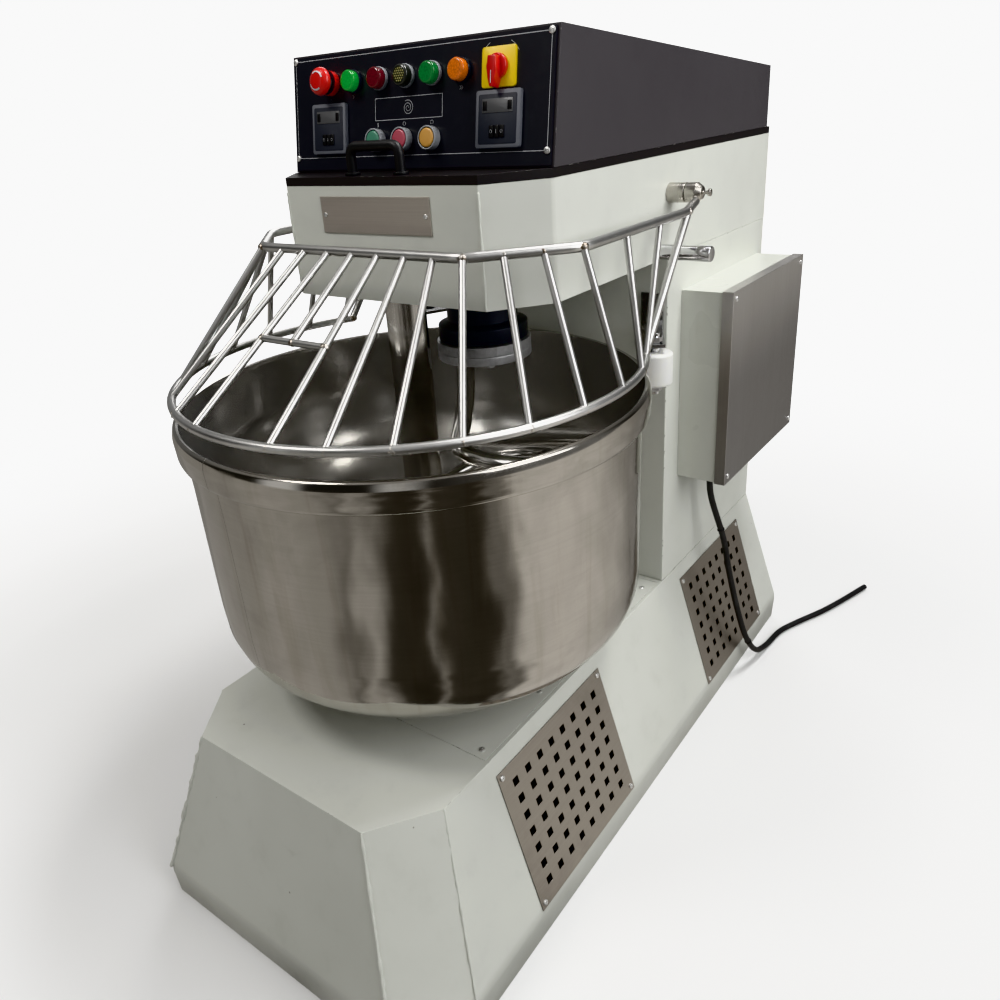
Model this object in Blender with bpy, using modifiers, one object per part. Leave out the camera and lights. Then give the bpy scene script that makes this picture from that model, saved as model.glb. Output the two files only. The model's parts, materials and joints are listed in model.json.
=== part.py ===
"""Spiral dough mixer: floor-standing machine with a turning bowl, a spiral tool, a breaker bar,
a lifting wire guard and a hinged control hood.

Metres, +Z up. The origin is the bowl's axis at floor level. -Y is the operator's side, the column
stands on the +Y side, +X is the side with the electrical box.
"""
import math

import bmesh
import bpy
from mathutils import Matrix, Vector

# ------------------------------------------------------------------ driving dimensions
GAP = 0.0003                    # clearance between pieces that touch on the real machine
SHEET = 0.004                   # wall of base, column and head
SIDES = ((1, "right"), (-1, "left"))

BODY_HALF = 0.2388              # half width of column, head and hood
BODY_BACK = 0.8214
COLUMN_FRONT = 0.3802
BASE_TOP = 0.3141
BASE_BEND = 0.055               # height of the base's widest section
BASE_BEND_HALF = 0.3175

HEAD_BOTTOM = 0.9291
HEAD_TOP = 1.0876
HEAD_FRONT = -0.0372
HEAD_FRONT_HALF = 0.1763
HEAD_CHAMFER_Y = 0.0391         # where the front chamfer meets the side

LEDGE_TOP = 1.0992
PANEL_Y0, PANEL_Z0 = 0.0391, 1.0995     # the control panel's lower edge
PANEL_Y1, PANEL_Z1 = 0.0657, 1.2623     # and its upper edge
HOOD_BACK_Y, HOOD_BACK_Z = 0.8079, 1.2054
HOOD_SHEET = 0.003
HINGE_XS = (-0.150, 0.150)
HINGE_Y, HINGE_Z = 0.8290, 1.0876

BOWL_TOP = 0.794
BOWL_BAND_R = 0.3575            # widest radius of the rim band
BOWL_BOTTOM = 0.3755
BREAKER_R = 0.0250              # breaker bar's upper end

SPINDLE_Y = 0.184               # the tool's axis, behind the bowl's axis
SPINDLE_R = 0.0250
SPINDLE_HOUSING_R = 0.0583
FLANGE_R = 0.0785
FLANGE_SEAM = 0.8077            # between the spindle's flange and the tool's
BOWL_SHAFT_R = 0.0275

SPINDLE_PULLEY_R, SPINDLE_MOTOR_PULLEY_R, SPINDLE_MOTOR_Y = 0.130, 0.050, 0.610
SPINDLE_PULLEY_Z = (1.0000, 1.0450)
BOWL_PULLEY_R, BOWL_MOTOR_PULLEY_R, BOWL_MOTOR_Y = 0.160, 0.050, 0.560
BOWL_PULLEY_Z = (0.1000, 0.1300)

PIVOT_Y, PIVOT_Z = 0.3802, 1.0295      # the guard's swing axis, along X
PIVOT_CAP_R = 0.0152

# colour, roughness, metallic
FINISHES = {
    "paint": ((0.70, 0.72, 0.67), 0.45, 0.0),
    "hood_black": ((0.030, 0.030, 0.034), 0.50, 0.0),
    "panel_black": ((0.018, 0.018, 0.022), 0.38, 0.0),
    "stainless": ((0.62, 0.60, 0.57), 0.25, 1.0),
    "mirror_stainless": ((0.60, 0.57, 0.53), 0.12, 1.0),
    "cast_grey": ((0.34, 0.34, 0.36), 0.50, 0.8),
    "dark_steel": ((0.08, 0.08, 0.09), 0.45, 0.7),
    "chrome": ((0.75, 0.75, 0.76), 0.12, 1.0),
    "nylon": ((0.88, 0.88, 0.86), 0.45, 0.0),
    "rubber": ((0.02, 0.02, 0.02), 0.60, 0.0),
    "motor_blue": ((0.10, 0.16, 0.24), 0.50, 0.0),
    "red": ((0.70, 0.02, 0.02), 0.30, 0.0),
    "green": ((0.02, 0.35, 0.12), 0.25, 0.0),
    "clear": ((0.55, 0.55, 0.50), 0.20, 0.0),
    "orange": ((0.85, 0.25, 0.03), 0.30, 0.0),
    "yellow": ((0.90, 0.68, 0.04), 0.40, 0.0),
    "pink": ((0.75, 0.25, 0.25), 0.35, 0.0),
    "grey_plastic": ((0.30, 0.31, 0.32), 0.45, 0.0),
}
SHARP_ANGLE = math.radians(35)  # smooth pieces keep edges sharper than this

# ------------------------------------------------------------------ clean start, collections
for old in list(bpy.data.objects):
    bpy.data.objects.remove(old, do_unlink=True)
for old in list(bpy.data.collections):
    bpy.data.collections.remove(old)

PARTS = bpy.data.collections.new("spiral_dough_mixer")
CUTTERS = bpy.data.collections.new("cutters")
bpy.context.scene.collection.children.link(PARTS)
bpy.context.scene.collection.children.link(CUTTERS)


# ------------------------------------------------------------------ materials and collections
def move_to(obj, collection):
    for current in list(obj.users_collection):
        current.objects.unlink(obj)
    collection.objects.link(obj)


def make_material(name, kind):
    colour, roughness, metallic = FINISHES[kind]
    mat = bpy.data.materials.new(name)
    mat.use_nodes = True
    bsdf = mat.node_tree.nodes["Principled BSDF"]
    bsdf.inputs["Base Color"].default_value = (*colour, 1.0)
    bsdf.inputs["Roughness"].default_value = roughness
    bsdf.inputs["Metallic"].default_value = metallic
    mat.diffuse_color = (*colour, 1.0)
    return mat


def finish(obj, name, kind, smooth=False):
    """Names the piece, gives it its own material and puts it in the parts' collection."""
    obj.name = name
    obj.data.materials.clear()
    obj.data.materials.append(make_material(name + "_material", kind))
    if smooth:
        obj.data.shade_smooth()
        obj.data.set_sharp_from_angle(angle=SHARP_ANGLE)
    move_to(obj, PARTS)


# ------------------------------------------------------------------ shapes
def link_new(name, data):
    obj = bpy.data.objects.new(name, data)
    bpy.context.scene.collection.objects.link(obj)
    return obj


def mesh_object(name, bm):
    bmesh.ops.recalc_face_normals(bm, faces=bm.faces)
    me = bpy.data.meshes.new(name)
    bm.to_mesh(me)
    bm.free()
    return link_new(name, me)


def both(half):
    """A range that is symmetric about zero."""
    return (-half, half)


def block(name, size, frame):
    """A block of the given size, centred on a frame."""
    bm = bmesh.new()
    bmesh.ops.create_cube(bm, size=1.0)
    bmesh.ops.scale(bm, vec=size, verts=bm.verts)
    obj = mesh_object(name, bm)
    obj.matrix_world = frame
    return obj


def box(name, x_range, y_range, z_range):
    """An upright block that fills three ranges."""
    low, high = (Vector(corner) for corner in zip(x_range, y_range, z_range))
    return block(name, high - low, Matrix.Translation((low + high) / 2))


def axes_frame(x_axis, y_axis, z_axis, origin):
    frame = Matrix((x_axis, y_axis, z_axis)).transposed().to_4x4()
    frame.translation = origin
    return frame


def aimed(centre, direction):
    """A frame at centre whose z axis points along direction."""
    turn = Vector((0, 0, 1)).rotation_difference(Vector(direction).normalized())
    return Matrix.Translation(Vector(centre)) @ turn.to_matrix().to_4x4()


def cylinder(name, centre, radius, length, direction=(0, 0, 1), seg=32):
    """A cylinder whose middle is at centre, along direction."""
    bm = bmesh.new()
    bmesh.ops.create_cone(bm, cap_ends=True, cap_tris=False, segments=seg,
                          radius1=radius, radius2=radius, depth=length)
    obj = mesh_object(name, bm)
    obj.matrix_world = aimed(centre, direction)
    return obj


def between(name, start, end, radius, seg=12):
    """A round rod from start to end."""
    start, end = Vector(start), Vector(end)
    return cylinder(name, (start + end) / 2, radius, (end - start).length, end - start, seg)


def extruded(name, points, shift):
    """A flat face through the points, pulled along shift."""
    bm = bmesh.new()
    face = bm.faces.new([bm.verts.new(p) for p in points])
    pulled = bmesh.ops.extrude_face_region(bm, geom=[face])["geom"]
    verts = [g for g in pulled if isinstance(g, bmesh.types.BMVert)]
    bmesh.ops.translate(bm, vec=shift, verts=verts)
    return mesh_object(name, bm)


def prism(name, outline, z0, z1):
    """A flat outline of (x, y) points pulled up from z0 to z1."""
    return extruded(name, [(x, y, z0) for x, y in outline], (0, 0, z1 - z0))


def side_prism(name, outline, half):
    """A side outline of (y, z) points pulled along X from -half to half."""
    return extruded(name, [(-half, y, z) for y, z in outline], (2 * half, 0, 0))


def plan(front_half, front_y, half, corner_y, back_y):
    """The body's plan as (x, y) points: a front with cut corners and a square back."""
    return [(-front_half, front_y), (front_half, front_y), (half, corner_y),
            (half, back_y), (-half, back_y), (-half, corner_y)]


def loft_plans(name, stations):
    """A closed solid through plans; a station is a height and a plan's values, lowest first."""
    bm = bmesh.new()
    loops = [[bm.verts.new((x, y, z)) for x, y in plan(*values)] for z, *values in stations]
    n = len(loops[0])
    for low, high in zip(loops, loops[1:]):
        for i in range(n):
            j = (i + 1) % n
            bm.faces.new((low[i], low[j], high[j], high[i]))
    bm.faces.new(list(reversed(loops[0])))
    bm.faces.new(loops[-1])
    return mesh_object(name, bm)


def lathe(name, profile, steps, centre=(0, 0, 0), direction=(0, 0, 1)):
    """A turned solid from a closed outline of (radius, height) points."""
    n = len(profile)
    me = bpy.data.meshes.new(name)
    me.from_pydata([(r, 0, z) for r, z in profile], [(i, (i + 1) % n) for i in range(n)], [])
    obj = link_new(name, me)
    mod = obj.modifiers.new("turn", "SCREW")
    mod.axis = "Z"
    mod.steps = mod.render_steps = steps
    mod.use_merge_vertices = True
    mod.merge_threshold = 0.00001
    mod.use_smooth_shade = False
    obj.matrix_world = aimed(centre, direction)
    return obj


def baked(obj):
    """The object's evaluated shape as a plain mesh in the same place, with its caps welded."""
    bpy.context.view_layer.update()
    deps = bpy.context.evaluated_depsgraph_get()
    me = bpy.data.meshes.new_from_object(obj.evaluated_get(deps))
    bm = bmesh.new()
    bm.from_mesh(me)
    bmesh.ops.remove_doubles(bm, verts=bm.verts, dist=0.00002)
    bmesh.ops.recalc_face_normals(bm, faces=bm.faces)
    bm.to_mesh(me)
    bm.free()
    new = link_new(obj.name + "_mesh", me)
    new.matrix_world = obj.matrix_world.copy()
    bpy.data.objects.remove(obj, do_unlink=True)
    return new


def tube(name, points, radius):
    """A round rod bent along a line of points, with closed ends, as a mesh."""
    curve = bpy.data.curves.new(name, "CURVE")
    curve.dimensions = "3D"
    curve.bevel_depth = radius
    curve.bevel_resolution = 1
    curve.use_fill_caps = True
    spline = curve.splines.new("POLY")
    spline.points.add(len(points) - 1)
    for point, position in zip(spline.points, points):
        point.co = (*position, 1.0)
    return baked(link_new(name, curve))


# ------------------------------------------------------------------ booleans
def hide_in(obj, collection):
    move_to(obj, collection)
    obj.hide_render = True
    obj.display_type = "WIRE"


def add_boolean(obj, name, operation):
    mod = obj.modifiers.new(name, "BOOLEAN")
    mod.operation = operation
    mod.solver = "EXACT"
    return mod


def cut(obj, *cutters):
    for cutter in cutters:
        add_boolean(obj, "cut", "DIFFERENCE").object = cutter
        hide_in(cutter, CUTTERS)


def join(obj, *others):
    """Adds each piece to obj as one welded body."""
    for other in others:
        add_boolean(obj, "weld", "UNION").object = other
        hide_in(other, CUTTERS)


def join_all(obj, others, name):
    """One weld of many pieces at once."""
    group = bpy.data.collections.new(name)
    CUTTERS.children.link(group)
    for other in others:
        hide_in(other, group)
    mod = add_boolean(obj, "weld", "UNION")
    mod.operand_type = "COLLECTION"
    mod.collection = group


# ------------------------------------------------------------------ base
# z, then front half width, front y, half width, y where the cut corner meets the side, back y
BASE_OUTER = [
    (0.0, 0.2430, -0.4470, 0.3145, -0.3490, 0.8350),
    (BASE_BEND, 0.2455, -0.4500, BASE_BEND_HALF, -0.3520, 0.8380),
    (BASE_TOP, 0.1718, -0.3812, BODY_HALF, -0.2899, BODY_BACK)]
BASE_INNER = [
    (-0.02, 0.2405, -0.4430, 0.3105, -0.3450, 0.8310),
    (BASE_BEND, 0.2435, -0.4460, 0.3135, -0.3480, 0.8340),
    (BASE_TOP - SHEET, 0.1715, -0.3785, BODY_HALF - SHEET + 0.0012, -0.2860, BODY_BACK - SHEET)]
FLOOR_PLAN = (0.2380, -0.4400, 0.3085, -0.3420, 0.8290)
FLOOR_T = 0.006

TOP_CUT_Z = (0.300, 0.330)      # height range of cuts through the base's top
COVER_HALF, COVER_Y0, COVER_Y1 = 0.2330, -0.1880, 0.3720
COVER_Z0 = 0.3108
COVER_PLAY = 0.0006
COVER_HOLE_R = 0.075
LEDGE_HALF, LEDGE_Z = 0.2362, (0.3062, 0.3105)
LEDGE_HOLE_HALF = 0.212

VENT_L, VENT_H, VENT_T = 0.296, 0.240, 0.0015
VENT_MID = 0.147                # from the base's top edge down the slope
VENT_WINDOW_MARGIN = 0.03       # the window is this much smaller than its plate
VENT_COLS, VENT_ROWS = 8, 7
VENT_PITCH_X = VENT_L * 0.885 / VENT_COLS
VENT_PITCH_Y = VENT_H * 0.86 / VENT_ROWS
VENT_HOLE = (0.0125, 0.0125, 0.01)
VENT_PLACES = ((-0.036, "front"), (0.590, "rear"))
SLOPE = Vector((BASE_BEND_HALF - BODY_HALF, 0, -(BASE_TOP - BASE_BEND))).normalized()


def side_frame(side, y, out):
    """A frame at a vent's middle: x axis along Y, y axis up the slope, z axis outward."""
    down = Vector((side * SLOPE.x, 0, SLOPE.z))
    outward = Vector((side * -SLOPE.z, 0, SLOPE.x)).normalized()
    origin = Vector((side * BODY_HALF, y, BASE_TOP)) + down * VENT_MID + outward * out
    return axes_frame((-down).cross(outward), -down, outward, origin)


def build_vent(base, side, side_name, y, place):
    """A window in the base's sloping side, covered by a punched plate."""
    window_size = (VENT_L - VENT_WINDOW_MARGIN, VENT_H - VENT_WINDOW_MARGIN, 0.08)
    cut(base, block("vent_window", window_size, side_frame(side, y, 0.0)))
    frame = side_frame(side, y, GAP + VENT_T / 2 + 0.0002)
    plate = block("vent", (VENT_L, VENT_H, VENT_T), frame)
    bm = bmesh.new()
    for i in range(VENT_COLS):
        for j in range(VENT_ROWS):
            verts = bmesh.ops.create_cube(bm, size=1.0)["verts"]
            x = (i - (VENT_COLS - 1) / 2) * VENT_PITCH_X
            y = (j - (VENT_ROWS - 1) / 2) * VENT_PITCH_Y
            bmesh.ops.scale(bm, vec=VENT_HOLE, verts=verts)
            bmesh.ops.translate(bm, vec=(x, y, 0), verts=verts)
    holes = mesh_object("vent_holes", bm)
    holes.matrix_world = frame
    cut(plate, holes)
    finish(plate, f"vent_grille_{place}_{side_name}", "stainless")


def build_base():
    base = loft_plans("base_shell", BASE_OUTER)
    cut(base, loft_plans("base_hollow", BASE_INNER),
        box("cover_opening", both(COVER_HALF), (COVER_Y0, COVER_Y1), TOP_CUT_Z),
        box("column_opening", both(0.205), (0.405, 0.795), TOP_CUT_Z))
    # a frame under the opening's edge carries the cover
    ledge = box("cover_ledge", both(LEDGE_HALF), (COVER_Y0 - 0.015, COVER_Y1 + 0.012), LEDGE_Z)
    cut(ledge, box("ledge_hole", both(LEDGE_HOLE_HALF),
                   (COVER_Y0 + 0.020, COVER_Y1 - 0.015), (0.29, 0.33)))
    join(base, baked(ledge))
    finish(base, "base_shell", "paint")
    for side, side_name in SIDES:
        for y, place in VENT_PLACES:
            build_vent(base, side, side_name, y, place)

    floor = prism("base_floor_plate", plan(*FLOOR_PLAN), 0.0, FLOOR_T)
    finish(floor, "base_floor_plate", "dark_steel")

    cover = box("base_top_cover", both(COVER_HALF - COVER_PLAY),
                (COVER_Y0 + COVER_PLAY, COVER_Y1 - COVER_PLAY), (COVER_Z0, BASE_TOP))
    cut(cover, cylinder("hub_hole", (0, 0, 0.31), COVER_HOLE_R, 0.03, seg=28))
    finish(cover, "base_top_cover", "paint")


# ------------------------------------------------------------------ column
REAR_OPENING_HALF, REAR_OPENING_Z = 0.185, (0.400, 0.860)
REAR_COVER_HALF, REAR_COVER_Z, REAR_COVER_T = 0.2050, (0.380, 0.880), 0.002


def build_column():
    column = box("column_shell", both(BODY_HALF), (COLUMN_FRONT, BODY_BACK),
                 (BASE_TOP + GAP, HEAD_BOTTOM - GAP))
    cut(column,
        box("column_hollow", both(BODY_HALF - SHEET),
            (COLUMN_FRONT + SHEET, BODY_BACK - SHEET), (0.30, 0.95)),
        box("rear_opening", both(REAR_OPENING_HALF), (0.80, 0.84), REAR_OPENING_Z))
    finish(column, "column_shell", "paint")
    cover_y = BODY_BACK + GAP
    rear = box("rear_cover", both(REAR_COVER_HALF), (cover_y, cover_y + REAR_COVER_T), REAR_COVER_Z)
    finish(rear, "rear_cover", "paint")


# ------------------------------------------------------------------ head
HEAD_OUTER = plan(HEAD_FRONT_HALF, HEAD_FRONT, BODY_HALF, HEAD_CHAMFER_Y, BODY_BACK)
HEAD_INNER = plan(HEAD_FRONT_HALF - 0.0017, HEAD_FRONT + SHEET, BODY_HALF - SHEET,
                  HEAD_CHAMFER_Y + 0.0015, BODY_BACK - SHEET)
HINGE_EAR_HALF = 0.012
HINGE_EAR_Y1 = HINGE_Y + 0.0060
HINGE_PIN_R, HINGE_PIN_L = 0.0030, 0.050
NAME_PLATE_X, NAME_PLATE_Z, NAME_PLATE_OUT = (-0.1070, 0.0970), (1.0235, 1.0735), 0.0018


def build_head():
    head = prism("head_shell", HEAD_OUTER, HEAD_BOTTOM, HEAD_TOP - GAP)
    cut(head, prism("head_hollow", HEAD_INNER, HEAD_BOTTOM + SHEET, 1.2),
        cylinder("spindle_hole", (0, SPINDLE_Y, HEAD_BOTTOM), SPINDLE_HOUSING_R + 0.0009, 0.04,
                 seg=24),
        box("column_way", both(0.225), (0.395, 0.805), (0.90, 0.95)),
        cylinder("breaker_hole", (0, 0, HEAD_BOTTOM), BREAKER_R + 0.0010, 0.04, seg=24))
    for x in HINGE_XS:      # fixed half of the hood's hinges: an ear with its pin
        ear_x = (x - HINGE_EAR_HALF, x + HINGE_EAR_HALF)
        join(head,
             box("hinge_ear", ear_x, (BODY_BACK - 0.002, HINGE_EAR_Y1), (1.0700, 1.0850)),
             box("hinge_eye", ear_x, (BODY_BACK + 0.0010, HINGE_EAR_Y1), (1.0750, 1.0940)),
             between("hinge_pin", (x, HINGE_Y, HINGE_Z), (x + HINGE_PIN_L, HINGE_Y, HINGE_Z),
                     HINGE_PIN_R))
    finish(head, "head_shell", "paint")

    plate = box("name_plate", NAME_PLATE_X, (HEAD_FRONT - NAME_PLATE_OUT, HEAD_FRONT - GAP),
                NAME_PLATE_Z)
    finish(plate, "name_plate", "stainless")


# ------------------------------------------------------------------ hood
PANEL_UP = Vector((0, PANEL_Y1 - PANEL_Y0, PANEL_Z1 - PANEL_Z0)).normalized()
PANEL_OUT = Vector((0, -PANEL_UP.z, PANEL_UP.y))
PANEL_H = math.hypot(PANEL_Y1 - PANEL_Y0, PANEL_Z1 - PANEL_Z0)
PANEL_T = 0.0030
PANEL_OPENING = (0.440, 0.128, 0.06)

KNUCKLE_R, KNUCKLE_BORE_R, KNUCKLE_L = 0.0062, 0.0034, 0.030
KNUCKLE_START = 0.0135          # from the ear's middle along X

HANDLE_X, HANDLE_Y, HANDLE_HALF = -0.0130, -0.0150, 0.0455
HANDLE_Z0, HANDLE_Z1 = LEDGE_TOP + GAP, 1.1370
HANDLE_BEND, HANDLE_R = 0.0140, 0.0070
HANDLE_FOOT_R, HANDLE_FOOT_H = 0.0110, 0.004


def on_panel(u, v, w):
    """A point on the control panel: u across, v up its slope, w out of its face."""
    return Vector((u, PANEL_Y0, PANEL_Z0)) + PANEL_UP * v + PANEL_OUT * w


def panel_frame(u, v, w):
    return axes_frame((1, 0, 0), PANEL_UP, PANEL_OUT, on_panel(u, v, w))


def build_hood():
    behind = -PANEL_T - GAP             # the hood's front wall lies behind the panel
    low, high = on_panel(0, 0, behind), on_panel(0, PANEL_H, behind)
    hood = side_prism("hood_shell", [
        (low.y, PANEL_Z0), (high.y, high.z), (PANEL_Y1 + 0.004, PANEL_Z1),
        (HOOD_BACK_Y, HOOD_BACK_Z), (HOOD_BACK_Y, PANEL_Z0)], BODY_HALF)
    inside = behind - HOOD_SHEET
    low, high = on_panel(0, 0, inside), on_panel(0, PANEL_H, inside)
    inner_back, below = HOOD_BACK_Y - HOOD_SHEET, PANEL_Z0 - 0.03
    cut(hood,
        side_prism("hood_hollow", [
            (low.y, below), (high.y, high.z - HOOD_SHEET),
            (inner_back, HOOD_BACK_Z - HOOD_SHEET), (inner_back, below)], BODY_HALF - HOOD_SHEET),
        block("panel_opening", PANEL_OPENING, panel_frame(0, 0.082, -0.01)))
    finish(hood, "hood_shell", "hood_black")


def build_hood_base_plate():
    plate = prism("hood_base_plate", HEAD_OUTER, HEAD_TOP, LEDGE_TOP)
    cut(plate, box("ledge_way", both(0.222), (0.062, 0.790), (1.07, 1.12)))
    for x in HINGE_XS:      # moving half of the hinges: a knuckle around the pin
        start = x + KNUCKLE_START
        room_half = HINGE_EAR_HALF + 0.0010     # lets the fixed ear pass
        cut(plate,
            box("ear_room", (x - room_half, x + room_half), (0.8130, 0.8400), (1.0800, 1.1200)),
            cylinder("knuckle_room", (start + KNUCKLE_L / 2, HINGE_Y, HINGE_Z), 0.0045,
                     KNUCKLE_L + 0.004, (1, 0, 0), 16))
        knuckle = lathe("hood_knuckle", [
            (KNUCKLE_R, KNUCKLE_L), (KNUCKLE_R, 0.0),
            (KNUCKLE_BORE_R, 0.0), (KNUCKLE_BORE_R, KNUCKLE_L)],
            16, (start, HINGE_Y, HINGE_Z), (1, 0, 0))
        tab = box("hood_tab", (start, start + KNUCKLE_L), (BODY_BACK - 0.004, HINGE_Y - 0.0042),
                  (HEAD_TOP + 0.0005, LEDGE_TOP - 0.002))
        join(plate, baked(knuckle), tab)
    finish(plate, "hood_base_plate", "hood_black")


def build_hood_handle():
    """A bent bar standing on the hood's base plate, in front of the panel."""
    half = [(-HANDLE_HALF, HANDLE_Z0)]
    for k in range(7):
        a = math.pi / 2 * k / 6
        half.append((-HANDLE_HALF + HANDLE_BEND * (1 - math.cos(a)),
                     HANDLE_Z1 - HANDLE_BEND * (1 - math.sin(a))))
    line = half + [(-x, z) for x, z in reversed(half)]
    handle = tube("hood_handle", [(HANDLE_X + x, HANDLE_Y, z) for x, z in line], HANDLE_R)
    for x in both(HANDLE_HALF):
        foot_centre = (HANDLE_X + x, HANDLE_Y, HANDLE_Z0 + HANDLE_FOOT_H / 2)
        join(handle, cylinder("handle_foot", foot_centre, HANDLE_FOOT_R, HANDLE_FOOT_H, seg=16))
    finish(handle, "hood_handle", "hood_black", True)


# ------------------------------------------------------------------ control panel and its devices
PANEL_HALF = 0.2345
LAMP_V, BUTTON_V = 0.1225, 0.0412
# name, u, material
LAMPS = [("lamp_slow_green", -0.106, "green"), ("lamp_red", -0.055, "red"),
         ("lamp_clear", -0.006, "clear"), ("lamp_forward_green", 0.042, "green"),
         ("lamp_fast_orange", 0.0915, "orange")]
BUTTONS = [("start_button", -0.0600, "green"), ("stop_button", -0.0099, "pink"),
           ("inch_button", 0.0405, "yellow")]
ESTOP_U, ESTOP_V = -0.1525, 0.1228
KNOB_U, KNOB_V = 0.1525, 0.1220
TIMERS = [("slow_timer", -0.1550), ("fast_timer", 0.1550)]
TIMER_V = 0.0600

# turned profiles: radius, height out of the panel's face
BEZEL = [(0.0155, 0.0120), (0.0155, -0.001), (0.0134, -0.001), (0.0134, 0.0120)]
ESTOP_COLLAR = [(0.0165, 0.0098), (0.0165, -0.001), (0.0100, -0.001), (0.0100, 0.0098)]
LAMP = [(0.0, 0.0168), (0.0118, 0.0162), (0.0138, 0.0148), (0.0138, 0.0050),
        (0.0155, 0.0050), (0.0155, GAP), (0.0, GAP)]
BUTTON = [(0.0, 0.0135), (0.0108, 0.0132), (0.0125, 0.0120), (0.0125, -0.0080), (0.0, -0.0080)]
ESTOP_STEM = [(0.0, 0.0270), (0.0060, 0.0270), (0.0060, 0.0140),
              (0.0091, 0.0140), (0.0091, -0.0180), (0.0, -0.0180)]
ESTOP_HEAD = [(0.0, 0.0335), (0.0120, 0.0315), (0.0182, 0.0275), (0.0195, 0.0215),
              (0.0130, 0.0145), (0.0064, 0.0145), (0.0064, 0.0274), (0.0, 0.0274)]
KNOB = [(0.0, 0.0100), (0.0145, 0.0100), (0.0155, 0.0085), (0.0155, 0.0036), (0.0, 0.0036)]
# the knob's pointed grip: u, v from the knob's axis
KNOB_GRIP = [(-0.0060, 0.0110), (-0.0072, -0.0040), (-0.0055, -0.0150), (-0.0022, -0.0255),
             (0.0022, -0.0255), (0.0055, -0.0150), (0.0072, -0.0040), (0.0060, 0.0110)]
KNOB_GRIP_Z = (0.0040, 0.0200)
SELECTOR_PLATE = (0.0530, 0.0480, 0.0030)

TIMER_FACE = (0.0700, 0.0700, 0.0060)
TIMER_BODY = (0.0656, 0.0656, 0.0600)
TIMER_HOLE = (0.0664, 0.0664, 0.05)
TIMER_WINDOW, TIMER_WINDOW_UP = (0.0500, 0.0180, 0.0040), 0.0160
TIMER_WHEELS, TIMER_WHEELS_DOWN = (0.0260, 0.0170, 0.0040), 0.0150
TIMER_RECESS_W = 0.0063         # middle of both recesses


def on_face(name, profile, u, v, steps):
    """A turned piece standing on the panel."""
    return lathe(name, profile, steps, on_panel(u, v, 0), PANEL_OUT)


def build_panel():
    panel = block("control_panel", (2 * PANEL_HALF, PANEL_H - 0.006, PANEL_T),
                  panel_frame(0, PANEL_H / 2, -PANEL_T / 2))
    for _, u, _ in BUTTONS:
        join(panel, baked(on_face("bezel", BEZEL, u, BUTTON_V, 18)))
    join(panel, baked(on_face("estop_collar", ESTOP_COLLAR, ESTOP_U, ESTOP_V, 18)))
    for _, u, _ in BUTTONS:
        cut(panel, cylinder("button_bore", on_panel(u, BUTTON_V, -0.002), 0.0130, 0.010,
                            PANEL_OUT, 18))
    cut(panel, cylinder("estop_bore", on_panel(ESTOP_U, ESTOP_V, -0.002), 0.0095, 0.012,
                        PANEL_OUT, 18))
    for _, u in TIMERS:
        cut(panel, block("timer_hole", TIMER_HOLE, panel_frame(u, TIMER_V, 0)))
    finish(panel, "control_panel", "panel_black")


def build_lamps_and_buttons():
    for devices, profile, v in ((LAMPS, LAMP, LAMP_V), (BUTTONS, BUTTON, BUTTON_V)):
        for name, u, kind in devices:
            finish(on_face(name, profile, u, v, 18), name, kind)
    stem = on_face("estop_stem", ESTOP_STEM, ESTOP_U, ESTOP_V, 16)
    finish(stem, "estop_stem", "grey_plastic")
    button = on_face("estop_button", ESTOP_HEAD, ESTOP_U, ESTOP_V, 20)
    finish(button, "estop_button", "red", True)


def build_selector():
    plate = block("selector_plate", SELECTOR_PLATE,
                  panel_frame(KNOB_U, KNOB_V, SELECTOR_PLATE[2] / 2 + GAP))
    finish(plate, "selector_plate", "yellow")
    knob = on_face("selector_knob", KNOB, KNOB_U, KNOB_V, 20)
    grip = prism("knob_grip", KNOB_GRIP, *KNOB_GRIP_Z)
    grip.matrix_world = panel_frame(KNOB_U, KNOB_V, 0.0)
    join(knob, grip)
    finish(knob, "selector_knob", "red")


def build_timers():
    for name, u in TIMERS:
        timer = block(name, TIMER_FACE, panel_frame(u, TIMER_V, TIMER_FACE[2] / 2 + GAP))
        join(timer, block("timer_body", TIMER_BODY, panel_frame(u, TIMER_V, -0.0280)))
        cut(timer,
            block("timer_window", TIMER_WINDOW,
                  panel_frame(u, TIMER_V + TIMER_WINDOW_UP, TIMER_RECESS_W)),
            block("timer_wheels", TIMER_WHEELS,
                  panel_frame(u, TIMER_V - TIMER_WHEELS_DOWN, TIMER_RECESS_W)))
        finish(timer, name, "grey_plastic")


# ------------------------------------------------------------------ electrical box
EBOX_X1 = 0.3313                # the cover's outer face
EBOX_Y, EBOX_Z = (0.4360, 0.7920), (0.5170, 0.8640)
EBOX_SHEET = 0.002
LID_DEPTH, LID_SHEET = 0.0200, 0.0016
RACK_MARGIN = 0.030
GLAND_X, GLAND_Y = 0.2750, 0.5060
# radius, height from the box's underside
GLAND = [(0.0125, 0.003), (0.0125, -0.008), (0.0100, -0.010), (0.0100, -0.024),
         (0.0085, -0.026), (0.0074, -0.026), (0.0074, 0.003)]
# each row of contactors: bottom, top, depth
CONTACTOR_ROWS = ((0.760, 0.815, 0.060), (0.655, 0.725, 0.050), (0.575, 0.610, 0.035))
CONTACTOR_COLS, CONTACTOR_PITCH, CONTACTOR_W = 4, 0.068, 0.055
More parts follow.
